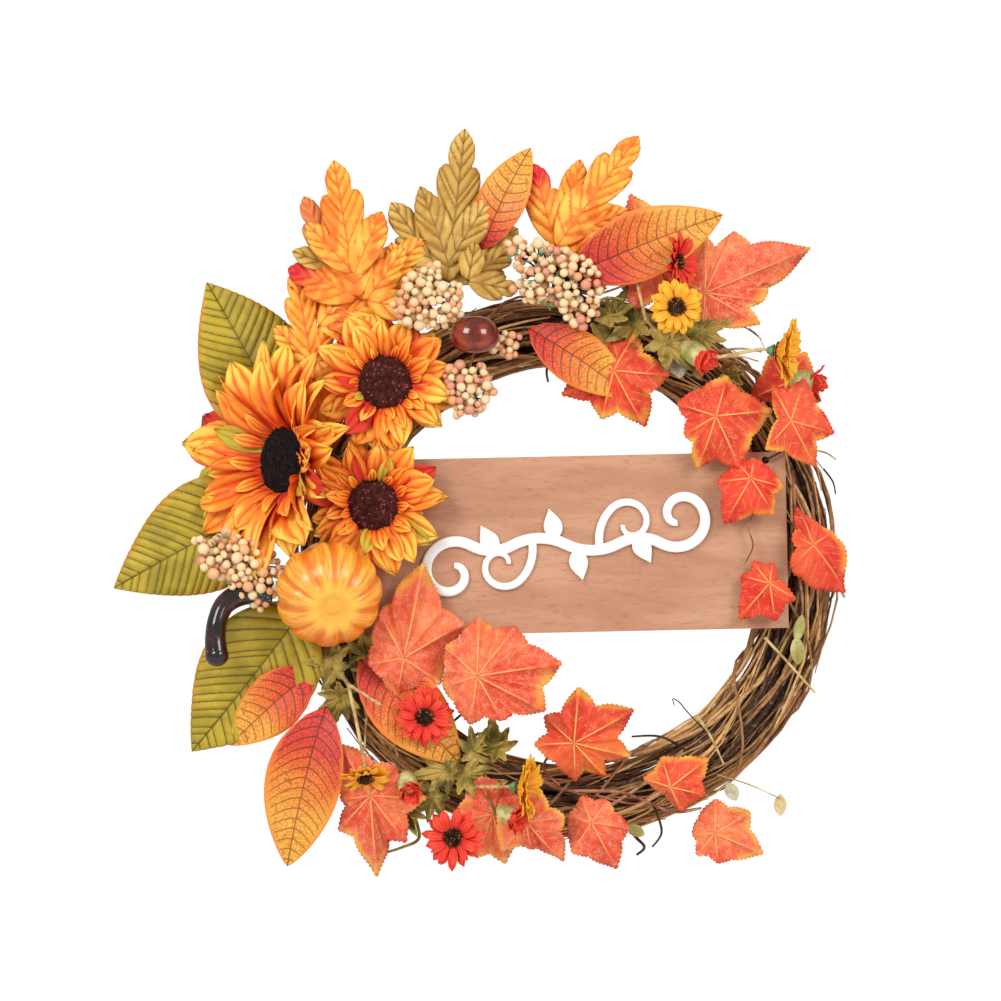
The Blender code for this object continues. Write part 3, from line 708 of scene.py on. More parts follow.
def ball(build, centre, radii, marked, turns, rows, axis):
    out = axis.normalized()
    first = out.orthogonal().normalized()
    second = out.cross(first)
    table = []
    for i in range(rows + 1):
        tilt = -math.pi / 2 + math.pi * i / rows
        row = []
        for k in range(turns):
            turn = 2 * math.pi * k / turns
            spot = (first * math.cos(turn) + second * math.sin(turn)) * math.cos(tilt) * radii[0]
            spot = centre + spot + out * math.sin(tilt) * radii[1]
            row.append(addPoint(build, spot, (k / turns, i / rows, 0), marked))
        table.append(row)
    joinRows(build, table, True)


def sideVeins(tree, u, v, pitch, lean, curve, width):
    # 1 on the veins that leave the midrib forwards and curve towards the tip, 0 between them
    away = calc(tree, "ABSOLUTE", u)
    bent = times(tree, times(tree, away, away), curve)
    back = plus(tree, times(tree, away, lean), bent)
    wave = calc(tree, "PINGPONG", calc(tree, "SUBTRACT", v, back), pitch / 2)
    return fade(tree, wave, width, width * 0.3)


def mapleMaterial(name, look):
    made, tree, shader = newMaterial(name, 0.6, 0.3)
    _, u, v, reach = mark(tree, "plan")
    ring = mark(tree, "mark")[1]
    place = own(tree)
    cloud = fade(tree, speck(tree, place, 45, 3, 0.6), 0.35, 0.65)
    body = blendColour(tree, cloud, tint(look["deep"]), tint(look["body"]))
    clouds = fade(tree, speck(tree, place, 28, 2, 0.5), 0.50, 0.70)
    body = blendColour(tree, clouds, body, tint(look["warm"]))
    broken = fade(tree, speck(tree, place, 34, 2, 0.5), 0.47, 0.60)
    rim = times(tree, fade(tree, ring, 0.74, 1.0), broken)
    body = blendColour(tree, rim, body, tint(look["edge"]))
    web = fade(tree, cells(tree, place, 620), 0.13, 0.02)
    patch = fade(tree, speck(tree, place, 240, 3, 0.6), 0.40, 0.60)
    flecks = times(tree, times(tree, web, patch), look["fleck"])
    body = blendColour(tree, flecks, body, tint(look["pale"]))
    grain = fade(tree, speck(tree, place, 900, 2, 0.6), 0.50, 0.68)
    body = blendColour(tree, times(tree, grain, 0.28), body, tint(look["deep"]))
    midrib = fade(tree, calc(tree, "ABSOLUTE", u), 0.44, 0.12)
    midrib = times(tree, midrib, fade(tree, calc(tree, "DIVIDE", v, reach), 0.92, 0.4))
    side = sideVeins(tree, u, v, look["veinPitch"], 0.75, 0.02, 0.42)
    side = times(tree, times(tree, side, patch), look["sideStrength"])
    veins = calc(tree, "MAXIMUM", times(tree, midrib, 0.9), side)
    tree.links.new(blendColour(tree, veins, body, tint(look["vein"])), shader.inputs["Base Color"])
    bump(tree, shader, plus(tree, times(tree, veins, -0.9), web), 0.4, 0.0006)
    return made


def ridgedMaterial(name, look):  # broad and carved leaves: colour follows the swellings between the veins, darker in the low valleys as painted shade and lighter on the swellings as painted highlight
    made, tree, shader = newMaterial(name, 0.5, 0.4)
    plan, u, v, length = mark(tree, "plan")
    _, edge, swell, tone = mark(tree, "mark")
    place = own(tree)
    cloud = speck(tree, place, 40, 3, 0.6)
    along = calc(tree, "DIVIDE", v, length)
    # valley colours blended in by the low swelling are painted shade along the veins; ridge colours on the
    # high swelling are painted highlight
    low = blendColour(tree, cloud, tint(look["valley"]), tint(look["valley2"]))
    high = blendColour(tree, fade(tree, cloud, 0.38, 0.62), tint(look["ridge"]), tint(look["ridge2"]))
    stroke = speck(tree, stretch(tree, plan, (0.16, 0.7, 0)), 1.3, 3, 0.6)
    strokes = times(tree, calc(tree, "SUBTRACT", stroke, 0.5), look["rough"])
    mixed = plus(tree, swell, strokes)
    body = blendColour(tree, fade(tree, mixed, 0.05, 0.47), low, high)
    midrib = fade(tree, calc(tree, "ABSOLUTE", u), 1.0, 0.3)
    body = blendColour(tree, times(tree, midrib, 0.7), body, tint(look["valley"]))
    rim = fade(tree, plus(tree, edge, times(tree, cloud, 0.5)), 1.10, 1.36)
    body = blendColour(tree, times(tree, rim, look["rim"]), body, tint(look["edge"]))
    warm = fade(tree, speck(tree, place, 52, 3, 0.6), 0.50, 0.60)
    body = blendColour(tree, times(tree, warm, look["warm"]), body, tint(look["edge"]))
    reach = plus(tree, along, times(tree, calc(tree, "SUBTRACT", cloud, 0.5), 0.8))
    redder = times(tree, fade(tree, tone, 0.72, 0.9), fade(tree, reach, 0.42, 0.85))
    body = blendColour(tree, redder, body, tint(look["tip"]))
    tree.links.new(body, shader.inputs["Base Color"])
    bump(tree, shader, mixed, 0.3, 0.0008)
    return made


def printedMaterial(name, look):
    made, tree, shader = newMaterial(name, 0.5, 0.4)
    plan, u, v, length = mark(tree, "plan")
    edge = mark(tree, "mark")[1]
    place = own(tree)
    along = calc(tree, "DIVIDE", v, length)
    wander = times(tree, calc(tree, "SUBTRACT", speck(tree, place, 30, 2, 0.5), 0.5), 0.5)
    reach = plus(tree, along, wander)
    ground = blendColour(tree, speck(tree, place, 60, 3, 0.6), tint(look["deep"]), tint(look["pale"]))
    ground = blendColour(tree, fade(tree, reach, 0.78, 0.34), ground, tint(look["middle"]))
    ground = blendColour(tree, fade(tree, reach, 0.48, 0.18), ground, tint(look["foot"]))
    ground = blendColour(tree, times(tree, fade(tree, edge, 0.84, 1.0), 0.5), ground, tint(look["edge"]))
    broken = fade(tree, speck(tree, place, 190, 3, 0.6), 0.26, 0.46)
    mesh = fade(tree, cells(tree, stretch(tree, plan, (0.38, 0.42, 0)), 1.0), 0.10, 0.03)
    mesh = times(tree, mesh, broken)
    veins = sideVeins(tree, u, v, 6.6, 0.20, 0.026, 0.78)
    midrib = fade(tree, calc(tree, "ABSOLUTE", u), 0.66, 0.3)
    inked = calc(tree, "MAXIMUM", times(tree, mesh, 0.6), times(tree, veins, 0.85))
    inked = calc(tree, "MAXIMUM", inked, times(tree, midrib, 0.9))
    inked = times(tree, inked, fade(tree, edge, 0.97, 0.82))
    ink = blendColour(tree, fade(tree, along, 0.75, 0.2), tint(look["inkTip"]), tint(look["inkFoot"]))
    tree.links.new(blendColour(tree, inked, ground, ink), shader.inputs["Base Color"])
    bump(tree, shader, inked, -0.4, 0.0006)
    return made


def petalMaterial(name, look):
    made, tree, shader = newMaterial(name, 0.55, 0.3)
    plan = mark(tree, "plan")[0]
    _, along, groove, tone = mark(tree, "mark")
    streak = speck(tree, stretch(tree, plan, (1.2, 0.08, 0)), 1.0, 3, 0.6)
    patch = speck(tree, own(tree), 55, 2, 0.5)
    reach = plus(tree, along, times(tree, calc(tree, "SUBTRACT", streak, 0.5), 0.9))
    reach = plus(tree, reach, times(tree, calc(tree, "SUBTRACT", groove, 0.5), 0.30))
    reach = plus(tree, reach, times(tree, calc(tree, "SUBTRACT", patch, 0.5), 0.9))
    reach = plus(tree, reach, times(tree, calc(tree, "SUBTRACT", tone, 0.5), look["vary"]))
    body = blendColour(tree, fade(tree, reach, look["start"], look["end"]), tint(look["root"]),
                       tint(look["body"]))
    body = blendColour(tree, fade(tree, reach, look["end"], 1.1), body, tint(look["tip"]))
    lines = times(tree, fade(tree, groove, 0.40, 0.02), fade(tree, streak, 0.36, 0.52))
    body = blendColour(tree, times(tree, lines, look["line"]), body, tint(look["root"]))
    body = blendColour(tree, fade(tree, tone, 0.93, 0.95), body, tint(look["oddRed"]))
    body = blendColour(tree, fade(tree, tone, 0.05, 0.03), body, tint(look["oddGreen"]))
    tree.links.new(body, shader.inputs["Base Color"])
    bump(tree, shader, streak, 0.45, 0.0008)
    return made


def clothMaterial(name, first, second, scale, roughness=0.75, fine=700):
    made, tree, shader = newMaterial(name, roughness, 0.25)
    place = own(tree)
    broad = fade(tree, speck(tree, place, scale, 3, 0.6), 0.38, 0.62)
    small = speck(tree, place, fine, 2, 0.6)
    body = blendColour(tree, broad, tint(first), tint(second))
    body = blendColour(tree, times(tree, fade(tree, small, 0.5, 0.75), 0.4), body, tint(first))
    tree.links.new(body, shader.inputs["Base Color"])
    bump(tree, shader, small, 0.3, 0.0006)
    return made


leafFace = Vector((0, -1, 0))  # towards the front


def slopeWay(degrees):  # the direction in the wreath's plane at this slope, from the right
    return Vector((math.cos(math.radians(degrees)), 0, math.sin(math.radians(degrees))))


def nodeAhead(node):  # how far in front of the ring's middle plane a CAD part's front lies, in millimetres
    return (ringCentre.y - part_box(node)[0].y) * 1000


def leafEnds(node, tilt, length, tipAhead, shift):
    # the ends of a leaf of this length that lies at this slope in its CAD place; degrees from the right
    low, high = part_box(node)
    middle = (low + high) / 2 + Vector((mm(shift[0]), 0, mm(shift[1])))
    middle.y = low.y
    half = slopeWay(tilt) * mm(length) / 2
    return middle - half, middle + half + Vector((0, -mm(tipAhead), 0))


def settle(build, back):  # brings a sheet forward until nothing of it lies behind this depth
    over = max(point[1] for point in build["points"]) - back
    if over > 0:
        build["points"] = [(x, y - over, z) for x, y, z in build["points"]]


def slotPiece(name, build, material, node, thick=0.5, setBack=0):
    settle(build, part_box(node)[1].y + mm(setBack))
    return finishPiece(name, build, [material], node=node, thick=thick)


broadLook = dict(uneven=0.03, widest=0.42, fullness=0.92, veinPitch=6.8, veinLean=54, veinBend=0.26,
                 perVein=6, ridge=0.8, groove=1.4, fold=0.10, nod=-0.10, curl=8, teeth=0.35)
# valley colours are painted shade in the hollows along the veins, ridge colours painted highlight on the
# swellings between them
broadColours = dict(valley="5A5010", valley2="766618", ridge="A38C20", ridge2="BEA52E", edge="E08A2C",
                    tip="B98A2A", rim=0.7, warm=0.0, rough=0.6)
broadLeaves = {
    # number: slope, length, width, bow, turn of the face, shift (right, up) from the CAD part's middle
    1: (117, 118, 74, 0.06, 0.25, (-6, 3)),
    2: (208, 122, 72, 0.05, -0.15, (-6, 0)),
    3: (233, 118, 74, 0.05, 0.2, (0, 0)),
}


def makeBroadLeaves(material):
    for number, (tilt, length, width, bow, turn, shift) in broadLeaves.items():
        rng = random.Random(40 + number)
        node = f"broad_leaf_{number}"
        base, tip = leafEnds(node, tilt, length, 6, shift)
        build = newBuild()
        look = dict(broadLook, bow=bow, width=width)
        pinnateSheet(build, base, tip, leafFace + Vector((turn, 0, 0)), look, rng, 0.2)
        slotPiece(f"broadLeaf{number}", build, material, node)


carvedLook = dict(uneven=0.05, widest=0.46, fullness=0.62, veinPitch=8.6, veinLean=33, veinBend=0.12,
                  perVein=6, ridge=0.9, groove=-0.5, fold=-0.14, nod=-0.10, curl=8, teeth=0.5, bite=0.44)
# valley colours are painted shade in the hollows along the veins, ridge colours painted highlight on the
# swellings between them
carvedColours = {
    "orange": dict(valley="DE5E1E", valley2="EC7C26", ridge="F99E2E", ridge2="FFC24C", edge="F0741F",
                   tip="D92C2C", rim=0.4, warm=0.8, rough=1.5),
    "khaki": dict(valley="7E5A20", valley2="98742F", ridge="C69A44", ridge2="DDB45C", edge="AA7A2C",
                  tip="E07F45", rim=0.4, warm=0.6, rough=1.4),
}


def makeCarvedLeaf(name, junction, tilt, lobes, red, material, seed, node=None):
    rng = random.Random(seed)
    build = newBuild()
    spine = slopeWay(tilt)
    for i, (off, length, width, start, sides) in enumerate(lobes):
        base = junction + spine * mm(start) + Vector((0, -mm(0.9 * i), 0))
        tip = base + slopeWay(tilt + off) * mm(length) + Vector((0, -mm(rng.uniform(-2, 6)), 0))
        face = leafFace + Vector((rng.uniform(-0.2, 0.2), 0, rng.uniform(-0.1, 0.1)))
        look = dict(carvedLook, width=width, lobes=sides)
        pinnateSheet(build, base, tip, face, look, rng, 0.95 if i in red else 0.3)
    settle(build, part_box(node)[1].y if node else junction.y)
    return finishPiece(name, build, [material], node=node, thick=0.6)


carvedLeaves = {
    # number: junction (right, up), slope of the middle lobe, colour, red lobes,
    # lobes (degrees off the slope, length, width, start along the middle line, side lobes)
    1: ((-131, 170), 101, "orange", (0,), (
        (56, 48, 26, 0, 2), (-60, 56, 27, 0, 2), (-34, 44, 23, 14, 1), (32, 42, 21, 16, 1),
        (0, 88, 32, 0, 3))),
    2: ((-147, 190), 112, "khaki", (1,), ((48, 27, 15, 0, 1), (0, 48, 20, 0, 2))),
    3: ((-158, 118), 101, "orange", (), ((34, 34, 17, 10, 1), (-30, 32, 16, 8, 1), (0, 72, 24, 0, 3))),
    4: ((-75, 180), 83, "khaki", (), (
        (-46, 56, 30, 0, 2), (41, 62, 28, 0, 2), (-24, 50, 22, 12, 1), (26, 54, 22, 10, 1),
        (0, 98, 32, 0, 3))),
    5: ((-6, 202), 54, "orange", (2,), (
        (-86, 42, 24, 0, 2), (-58, 48, 26, 0, 2), (52, 54, 24, 0, 2), (-32, 44, 22, 8, 1),
        (24, 48, 22, 10, 1), (0, 88, 31, 0, 3))),
}
carvedExtras = {
    # smaller ones with no CAD part: junction (right, up, ahead), slope, colour, red lobes, lobes
    "carvedExtra1": ((-62, 180, 31), 38, "khaki", (), (
        (0, 36, 22, 0, 3), (-48, 32, 19, 0, 2), (40, 24, 16, 0, 2))),
    "carvedExtra2": ((-100, 172, 27), 62, "orange", (), ((0, 38, 20, 0, 3), (46, 34, 17, 0, 2))),
    "carvedExtra3": ((-126, 168, 28), 24, "orange", (), (
        (0, 46, 24, 0, 3), (-34, 44, 20, 0, 3), (30, 40, 20, 0, 2))),
    "carvedExtra4": ((-10, 184, 28), 6, "orange", (), (
        (0, 56, 20, 0, 3), (26, 46, 20, 0, 3), (-20, 36, 15, 0, 2))),
    "carvedExtra5": ((-150, 163, 27), 152, "orange", (0, 1), ((0, 28, 17, 0, 2), (-34, 26, 14, 0, 2))),
    "carvedExtra6": ((-108, 160, 26), 82, "khaki", (), ((0, 34, 18, 0, 2), (-42, 34, 17, 0, 2))),
    "carvedExtra7": ((-156, 152, 25), 24, "orange", (), (
        (0, 66, 28, 0, 3), (-26, 50, 22, 0, 2), (30, 40, 18, 0, 1))),
    "carvedExtra9": ((-157, 130, 26), -90, "orange", (), ((0, 54, 32, 0, 2), (34, 34, 22, 0, 1))),
    "carvedExtra8": ((-122, 150, 31), 166, "orange", (0, 1), ((0, 38, 16, 0, 1), (34, 24, 13, 0, 1))),
}


def makeCarvedLeaves(materials):
    for number, (junction, tilt, kind, red, lobes) in carvedLeaves.items():
        node = f"carved_leaf_{number}"
        place = at(*junction, nodeAhead(node))
        makeCarvedLeaf(f"carvedLeaf{number}", place, tilt, lobes, red, materials[kind], 60 + number, node)
    for number, (name, (junction, tilt, kind, red, lobes)) in enumerate(carvedExtras.items()):
        makeCarvedLeaf(name, at(*junction), tilt, lobes, red, materials[kind], 80 + number)


printedColours = dict(foot="D93B2A", middle="EE6F2B", deep="F39A2E", pale="FBBE50", edge="F08A2C",
                      inkFoot="561A12", inkTip="94501C")
printedLook = dict(widest=0.46, fullness=0.78, veinPitch=5.0, veinLean=50, perVein=1, ridge=0.0, groove=0.5,
                   fold=0.14, nod=-0.12, curl=6)
printedLeaves = {
    # number: slope, length, width, bow, turn of the face, shift (right, up) from the CAD part's middle
    1: (66, 72, 32, 0.08, -0.2, (8, 7)),
    2: (22, 104, 44, 0.08, 0.15, (5, -4)),
    3: (-33, 78, 35, 0.10, 0.1, (7, -2)),
    4: (221, 72, 37, 0.10, -0.1, (0, 0)),
    5: (255, 104, 49, 0.07, -0.15, (0, 0)),
    6: (-46, 92, 46, 0.06, 0.04, (0, 0)),
}


def makePrintedLeaves(material):
    for number, (tilt, length, width, bow, turn, shift) in printedLeaves.items():
        rng = random.Random(90 + number)
        node = f"printed_leaf_{number}"
        base, tip = leafEnds(node, tilt, length, 4, shift)
        build = newBuild()
        look = dict(printedLook, width=width, bow=bow)
        pinnateSheet(build, base, tip, leafFace + Vector((turn, 0, 0.1)), look, rng, rng.random())
        slotPiece(f"printedLeaf{number}", build, material, node, 0.35)


mapleLook = dict(pitch=2.8, depth=0.9, bulge=0.07, fold=0.15, curl=12, cup=-3)
mapleLeaves = {
    # number: junction (right, up), share of the reach left at the notches, colour,
    # lobe tips (degrees from the right, length)
    1: ((88, 173), 0.72, "salmon", (
        (-94, 23), (-30, 40), (-8, 37), (23, 72), (66, 43), (90, 36), (150, 26))),
    2: ((54, 195), 0.72, "salmon", (
        (-110, 34), (-62, 40), (-20, 30), (60, 36), (108, 43), (140, 34), (185, 30))),
    3: ((30, 124), 0.70, "coral", ((-105, 32), (-62, 41), (-5, 35), (60, 26), (130, 22), (205, 37))),
    4: ((94, 95), 0.72, "coral", ((-107, 34), (-64, 37), (6, 37), (72, 27), (162, 26), (210, 24))),
    5: ((141, 92), 0.66, "coral", ((-60, 34), (-15, 30), (72, 28), (118, 25), (230, 24))),
    6: ((116, 56), 0.72, "vivid", ((-57, 27), (-15, 21), (80, 13), (130, 15), (186, 21), (240, 33))),
    7: ((128, -10), 0.72, "vivid", ((-32, 19), (84, 13), (130, 18), (166, 19), (229, 30), (278, 24))),
    8: ((-102, -57), 0.74, "salmon", ((-34, 29), (30, 44), (78, 61), (118, 32), (190, 22), (262, 26))),
    9: ((-56, -68), 0.80, "salmon", (
        (-27, 48), (9, 54), (52, 40), (88, 38), (136, 27), (196, 22), (262, 30), (300, 32))),
    10: ((5, -111), 0.66, "coral", (
        (-88, 26), (-48, 30), (-14, 37), (28, 43), (85, 35), (138, 25), (182, 25))),
    11: ((66, -139), 0.74, "coral", ((-66, 17), (-12, 22), (38, 30), (106, 20), (162, 18))),
    12: ((16, -161), 0.76, "salmon", ((-62, 34), (-7, 24), (53, 17), (112, 17), (165, 15), (238, 23))),
    13: ((94, -168), 0.74, "salmon", ((-84, 19), (-23, 33), (30, 26), (88, 21), (184, 14), (230, 18))),
    14: ((-123, -143), 0.68, "salmon", (
        (-86, 53), (-54, 38), (-4, 35), (50, 24), (121, 36), (190, 19), (229, 31))),
}
mapleExtras = {
    # leaves with no CAD part: junction (right, up, ahead), notches, colour, turn of the face, lobe tips
    "mapleCurl": ((156, 14, 26), 0.7, "vivid", (0.5, 0, 0.2), (
        (-52, 38), (30, 16), (110, 26), (160, 16), (220, 18))),
    "mapleLow1": ((-46, -156, 23), 0.78, "salmon", (0.1, 0, -0.1), (
        (-75, 34), (-20, 24), (40, 22), (110, 26), (190, 26), (250, 30))),
    "mapleLow2": ((-25, -160, 30), 0.74, "salmon", (-0.1, 0, -0.2), (
        (-84, 20), (-52, 36), (8, 24), (60, 22), (140, 22), (230, 26))),
    "mapleBack": ((140, 116, 14), 0.7, "vivid", (-0.1, 0, 0.1), ((60, 24), (-30, 24), (120, 22), (200, 26))),
}
flatterLeaves = (1, 5)  # they lie under turning daisies
leavesSetBack = {3: 8}  # millimetres further back, under the printed leaf
mapleLooks = {
    "salmon": dict(deep="E04A2E", body="EF6B45", warm="F4824C", edge="F8B245", pale="FBC2A2", vein="F9B568",
                   fleck=0.55, veinPitch=7.5, sideStrength=0.45),
    "coral": dict(deep="D93A24", body="EE5733", warm="F37438", edge="FABB45", pale="F99C74", vein="FBC06C",
                  fleck=0.40, veinPitch=6.8, sideStrength=0.5),
    "vivid": dict(deep="D52F20", body="F04A2E", warm="F46038", edge="F9A53C", pale="F9866A", vein="F9B766",
                  fleck=0.35, veinPitch=6.0, sideStrength=0.45),
}


def makeMapleLeaves(materials):
    for number, (junction, notch, kind, tips) in mapleLeaves.items():
        rng = random.Random(120 + number)
        node = f"maple_leaf_{number}"
        build = newBuild()
        face = leafFace + Vector((rng.uniform(-0.18, 0.18), 0, rng.uniform(-0.15, 0.15)))
        look = dict(mapleLook, notch=notch)
        if number in flatterLeaves:
            look.update(fold=0.05, curl=4, depth=0.6)
        setBack = leavesSetBack.get(number, 0)
        mapleSheet(build, at(*junction, nodeAhead(node) - setBack), tips, look, rng, face)
        slotPiece(f"mapleLeaf{number}", build, materials[kind], node, 0.35, setBack)
    for number, (name, (junction, notch, kind, turn, tips)) in enumerate(mapleExtras.items()):
        rng = random.Random(150 + number)
        build = newBuild()
        place = at(*junction)
        mapleSheet(build, place, tips, dict(mapleLook, notch=notch), rng, leafFace + Vector(turn))
        settle(build, place.y)
        finishPiece(name, build, [materials[kind]], thick=0.35)


sunflowers = {
    # number: axis, reach of the petals, disc radius, seeds, how much shorter the petals on its right are,
    # how wide they are for their length,
    # whorls of (petals, share of the reach, lift in degrees, start as a share of the disc)
    1: (Vector((-0.72, -0.69, 0.06)), 80, 23, "dark", 0.28, 0.42,
        ((17, 1.0, 19, 0.75), (16, 0.92, 27, 0.8), (14, 0.76, 34, 0.85), (12, 0.54, 46, 0.9))),
    2: (Vector((0.05, -1, 0.05)), 47, 17.5, "velvet", 0, 0.54,
        ((13, 1.0, 4, 0.7), (13, 0.93, 15, 0.8), (12, 0.74, 30, 0.88), (11, 0.58, 45, 0.92))),
    3: (Vector((-0.02, -1, 0)), 47, 16.5, "velvet", 0, 0.52,
        ((13, 1.0, 8, 0.7), (13, 0.93, 17, 0.8), (12, 0.74, 30, 0.88), (11, 0.58, 45, 0.92))),
}
sunflowerOnBoard = 3
sunDisc = dict(height=6.5, bristles=520, bristleLong=1.2)
sunColours = dict(start=0.02, end=0.62, root="EE4A1C", body="FD962C", tip="FFD256", line=0.85, vary=0.5,
                  oddRed="DC3A28", oddGreen="CDB43C")
sunPetal = dict(widest=0.58, fullness=0.55, lift=0.16, droop=0.16, grooves=3, groove=1.0, cup=0.25,
                rows=10, columns=14, notch=0.09, twist=0.28)


def discHead(build, centre, axis, radius, look, rng):
    # a dome of short bristles set out in a spiral
    height, count = mm(look["height"]), look["bristles"]
    out = axis.normalized()
    first = out.orthogonal().normalized()
    second = out.cross(first)
    table = []
    for i in range(8):
        share = i / 7
        row = []
        for k in range(28):
            turn = 2 * math.pi * k / 28
            r = radius * math.cos(share * math.pi / 2) ** 0.7
            spot = (first * math.cos(turn) + second * math.sin(turn)) * r
            spot += out * height * math.sin(share * math.pi / 2)
            row.append(addPoint(build, centre + spot, (0, 0, 0), (share, rng.random(), 0)))
        table.append(row)
    joinRows(build, table, True)
    for i in range(count):
        share = math.sqrt((i + 0.5) / count)
        turn = i * 2.39996  # the golden angle
        dome = math.sqrt(max(0.0, 1 - share * share)) ** 0.9
        side = first * math.cos(turn) + second * math.sin(turn)
        foot = centre + side * radius * share + out * height * dome * 0.96
        lean = (out + side * share * 0.8).normalized()
        tall = mm(look["bristleLong"]) * rng.uniform(0.7, 1.3)
        wide = radius * 0.95 / math.sqrt(count)
        tone = rng.random()
        corners = []
        across = lean.orthogonal().normalized()
        along = lean.cross(across)
        for k in range(5):
            bend = 2 * math.pi * k / 5
            around = (across * math.cos(bend) + along * math.sin(bend)) * wide
            low = addPoint(build, foot + around, (0, 0, 0), (share, tone, 0))
            high = addPoint(build, foot + around * 0.62 + lean * tall, (0, 0, 1), (share, tone, 1))
            corners.append((low, high))
        top = addPoint(build, foot + lean * tall * 1.1, (0, 0, 1), (share, tone, 1))
        for k in range(5):
            n = (k + 1) % 5
            addFace(build, (corners[k][0], corners[n][0], corners[n][1], corners[k][1]))
            addFace(build, (corners[k][1], corners[n][1], top))


def seedMaterial(name, dark, pale, fleck):
    made, tree, shader = newMaterial(name, 0.85, 0.2)
    _, _, tone, tip = mark(tree, "mark")
    place = own(tree)
    cloud = fade(tree, speck(tree, place, 350, 2, 0.6), 0.4, 0.6)
    body = blendColour(tree, cloud, tint(dark), tint(pale))
    body = blendColour(tree, times(tree, fade(tree, tone, 0.88, 0.93), tip), body, tint(fleck))
    tree.links.new(body, shader.inputs["Base Color"])
    bump(tree, shader, speck(tree, place, 1500, 2, 0.6), 0.4, 0.0005)
    return made


def makeSunflowers(petals, seeds):
    for number, (axis, reach, radius, kind, shorter, slender, whorls) in sunflowers.items():
        rng = random.Random(200 + number)
        out = axis.normalized()
        first = Vector((0, 0, 1)) - out * out.z
        first.normalize()
        second = first.cross(out)
        low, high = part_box(f"sunflower_{number}_disc")
        centre = (low + high) / 2 - out * mm(3)
        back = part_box(f"sunflower_{number}_petals")[1].y
        build = newBuild()
        for layer, (count, share, lift, start) in enumerate(whorls):
            phase = rng.uniform(0, 1)
            for k in range(count):
                turn = 2 * math.pi * (k + phase + rng.uniform(-0.22, 0.22)) / count
                radial = first * math.cos(turn) + second * math.sin(turn)
                slope = math.radians(lift + rng.uniform(-8, 8))
                along = radial * math.cos(slope) + out * math.sin(slope)
                face = out * math.cos(slope) - radial * math.sin(slope)
                base = centre + radial * mm(radius * start) + out * mm(-2.2 + 1.2 * layer)
                length = mm((reach * share - radius * start) * rng.uniform(0.90, 1.06))
                length *= 1 - shorter * max(0.0, radial.x)
                around = radial.cross(out) * rng.uniform(-0.35, 0.35)
                tone = rng.uniform(0.10, 0.92) * (1 - 0.2 * layer) + 0.05
                if rng.random() < 0.07:
                    tone = rng.choice((0.0, 1.0))
                firstPoint = len(build["points"])
                look = dict(sunPetal, slender=slender)
                petalSheet(build, base, along, face + around, length, look, rng, tone)
                if number == sunflowerOnBoard:  # its petals rest on the front of the board
                    rest = back - mm(0.8 * rng.random() + 0.25 * layer)
                    for p in range(firstPoint, len(build["points"])):
                        x, y, z = build["points"][p]
                        build["points"][p] = (x, min(y, rest), z)
        finishPiece(f"sunflowerPetals{number}", build, [petals], node=f"sunflower_{number}_petals",
                    thick=0.35)
        build = newBuild()
        discHead(build, centre, out, mm(radius), sunDisc, rng)
        finishPiece(f"sunflowerDisc{number}", build, [seeds[kind]], node=f"sunflower_{number}_disc")


pumpkinLook = dict(ribs=11, ribDepth=0.05, halfWide=33.6, halfDeep=26.5, segments=144, rings=40,
                   axis=(0.16, -0.93, -0.34), buttonWide=6.6, buttonDeep=2.6)
# the groove colour is painted shade in the grooves between the ribs, and the underside colour painted shade
# on the lower side
pumpkinColours = dict(deep="EE8424", pale="FBB53C", lightLines="FBCB5C", darkLines="E9751F", groove="E46F1B",
                      undersideShade="E25F18", pole="FBC043", poleRing="DE7A1E")


def pumpkinMaterial():
    made, tree, shader = newMaterial("pumpkinSkin", 0.22, 0.6)
    plan = mark(tree, "plan")[0]
    _, groove, up, pole = mark(tree, "mark")
    streak = speck(tree, stretch(tree, plan, (9, 1.1, 0)), 1.0, 4, 0.65)
    fine = speck(tree, stretch(tree, plan, (34, 2.2, 0)), 1.0, 3, 0.6)
    tints = {key: tint(code) for key, code in pumpkinColours.items()}
    body = blendColour(tree, fade(tree, streak, 0.38, 0.60), tints["deep"], tints["pale"])
    body = blendColour(tree, times(tree, fade(tree, fine, 0.50, 0.66), 0.6), body, tints["lightLines"])
    body = blendColour(tree, times(tree, fade(tree, fine, 0.46, 0.32), 0.55), body, tints["darkLines"])
    # painted shade in the grooves between the ribs
    body = blendColour(tree, times(tree, fade(tree, groove, 0.35, 1.0), 0.85), body, tints["groove"])
    # painted shade: darker on the pumpkin's lower side
    body = blendColour(tree, times(tree, fade(tree, up, -0.15, -0.95), 0.75), body, tints["undersideShade"])
    body = blendColour(tree, times(tree, fade(tree, pole, 0.84, 0.965), 0.8), body, tints["pole"])
    body = blendColour(tree, times(tree, fade(tree, pole, 0.950, 0.990), 0.32), body, tints["poleRing"])
    tree.links.new(body, shader.inputs["Base Color"])
    bump(tree, shader, fine, 0.3, 0.0009)
    return made


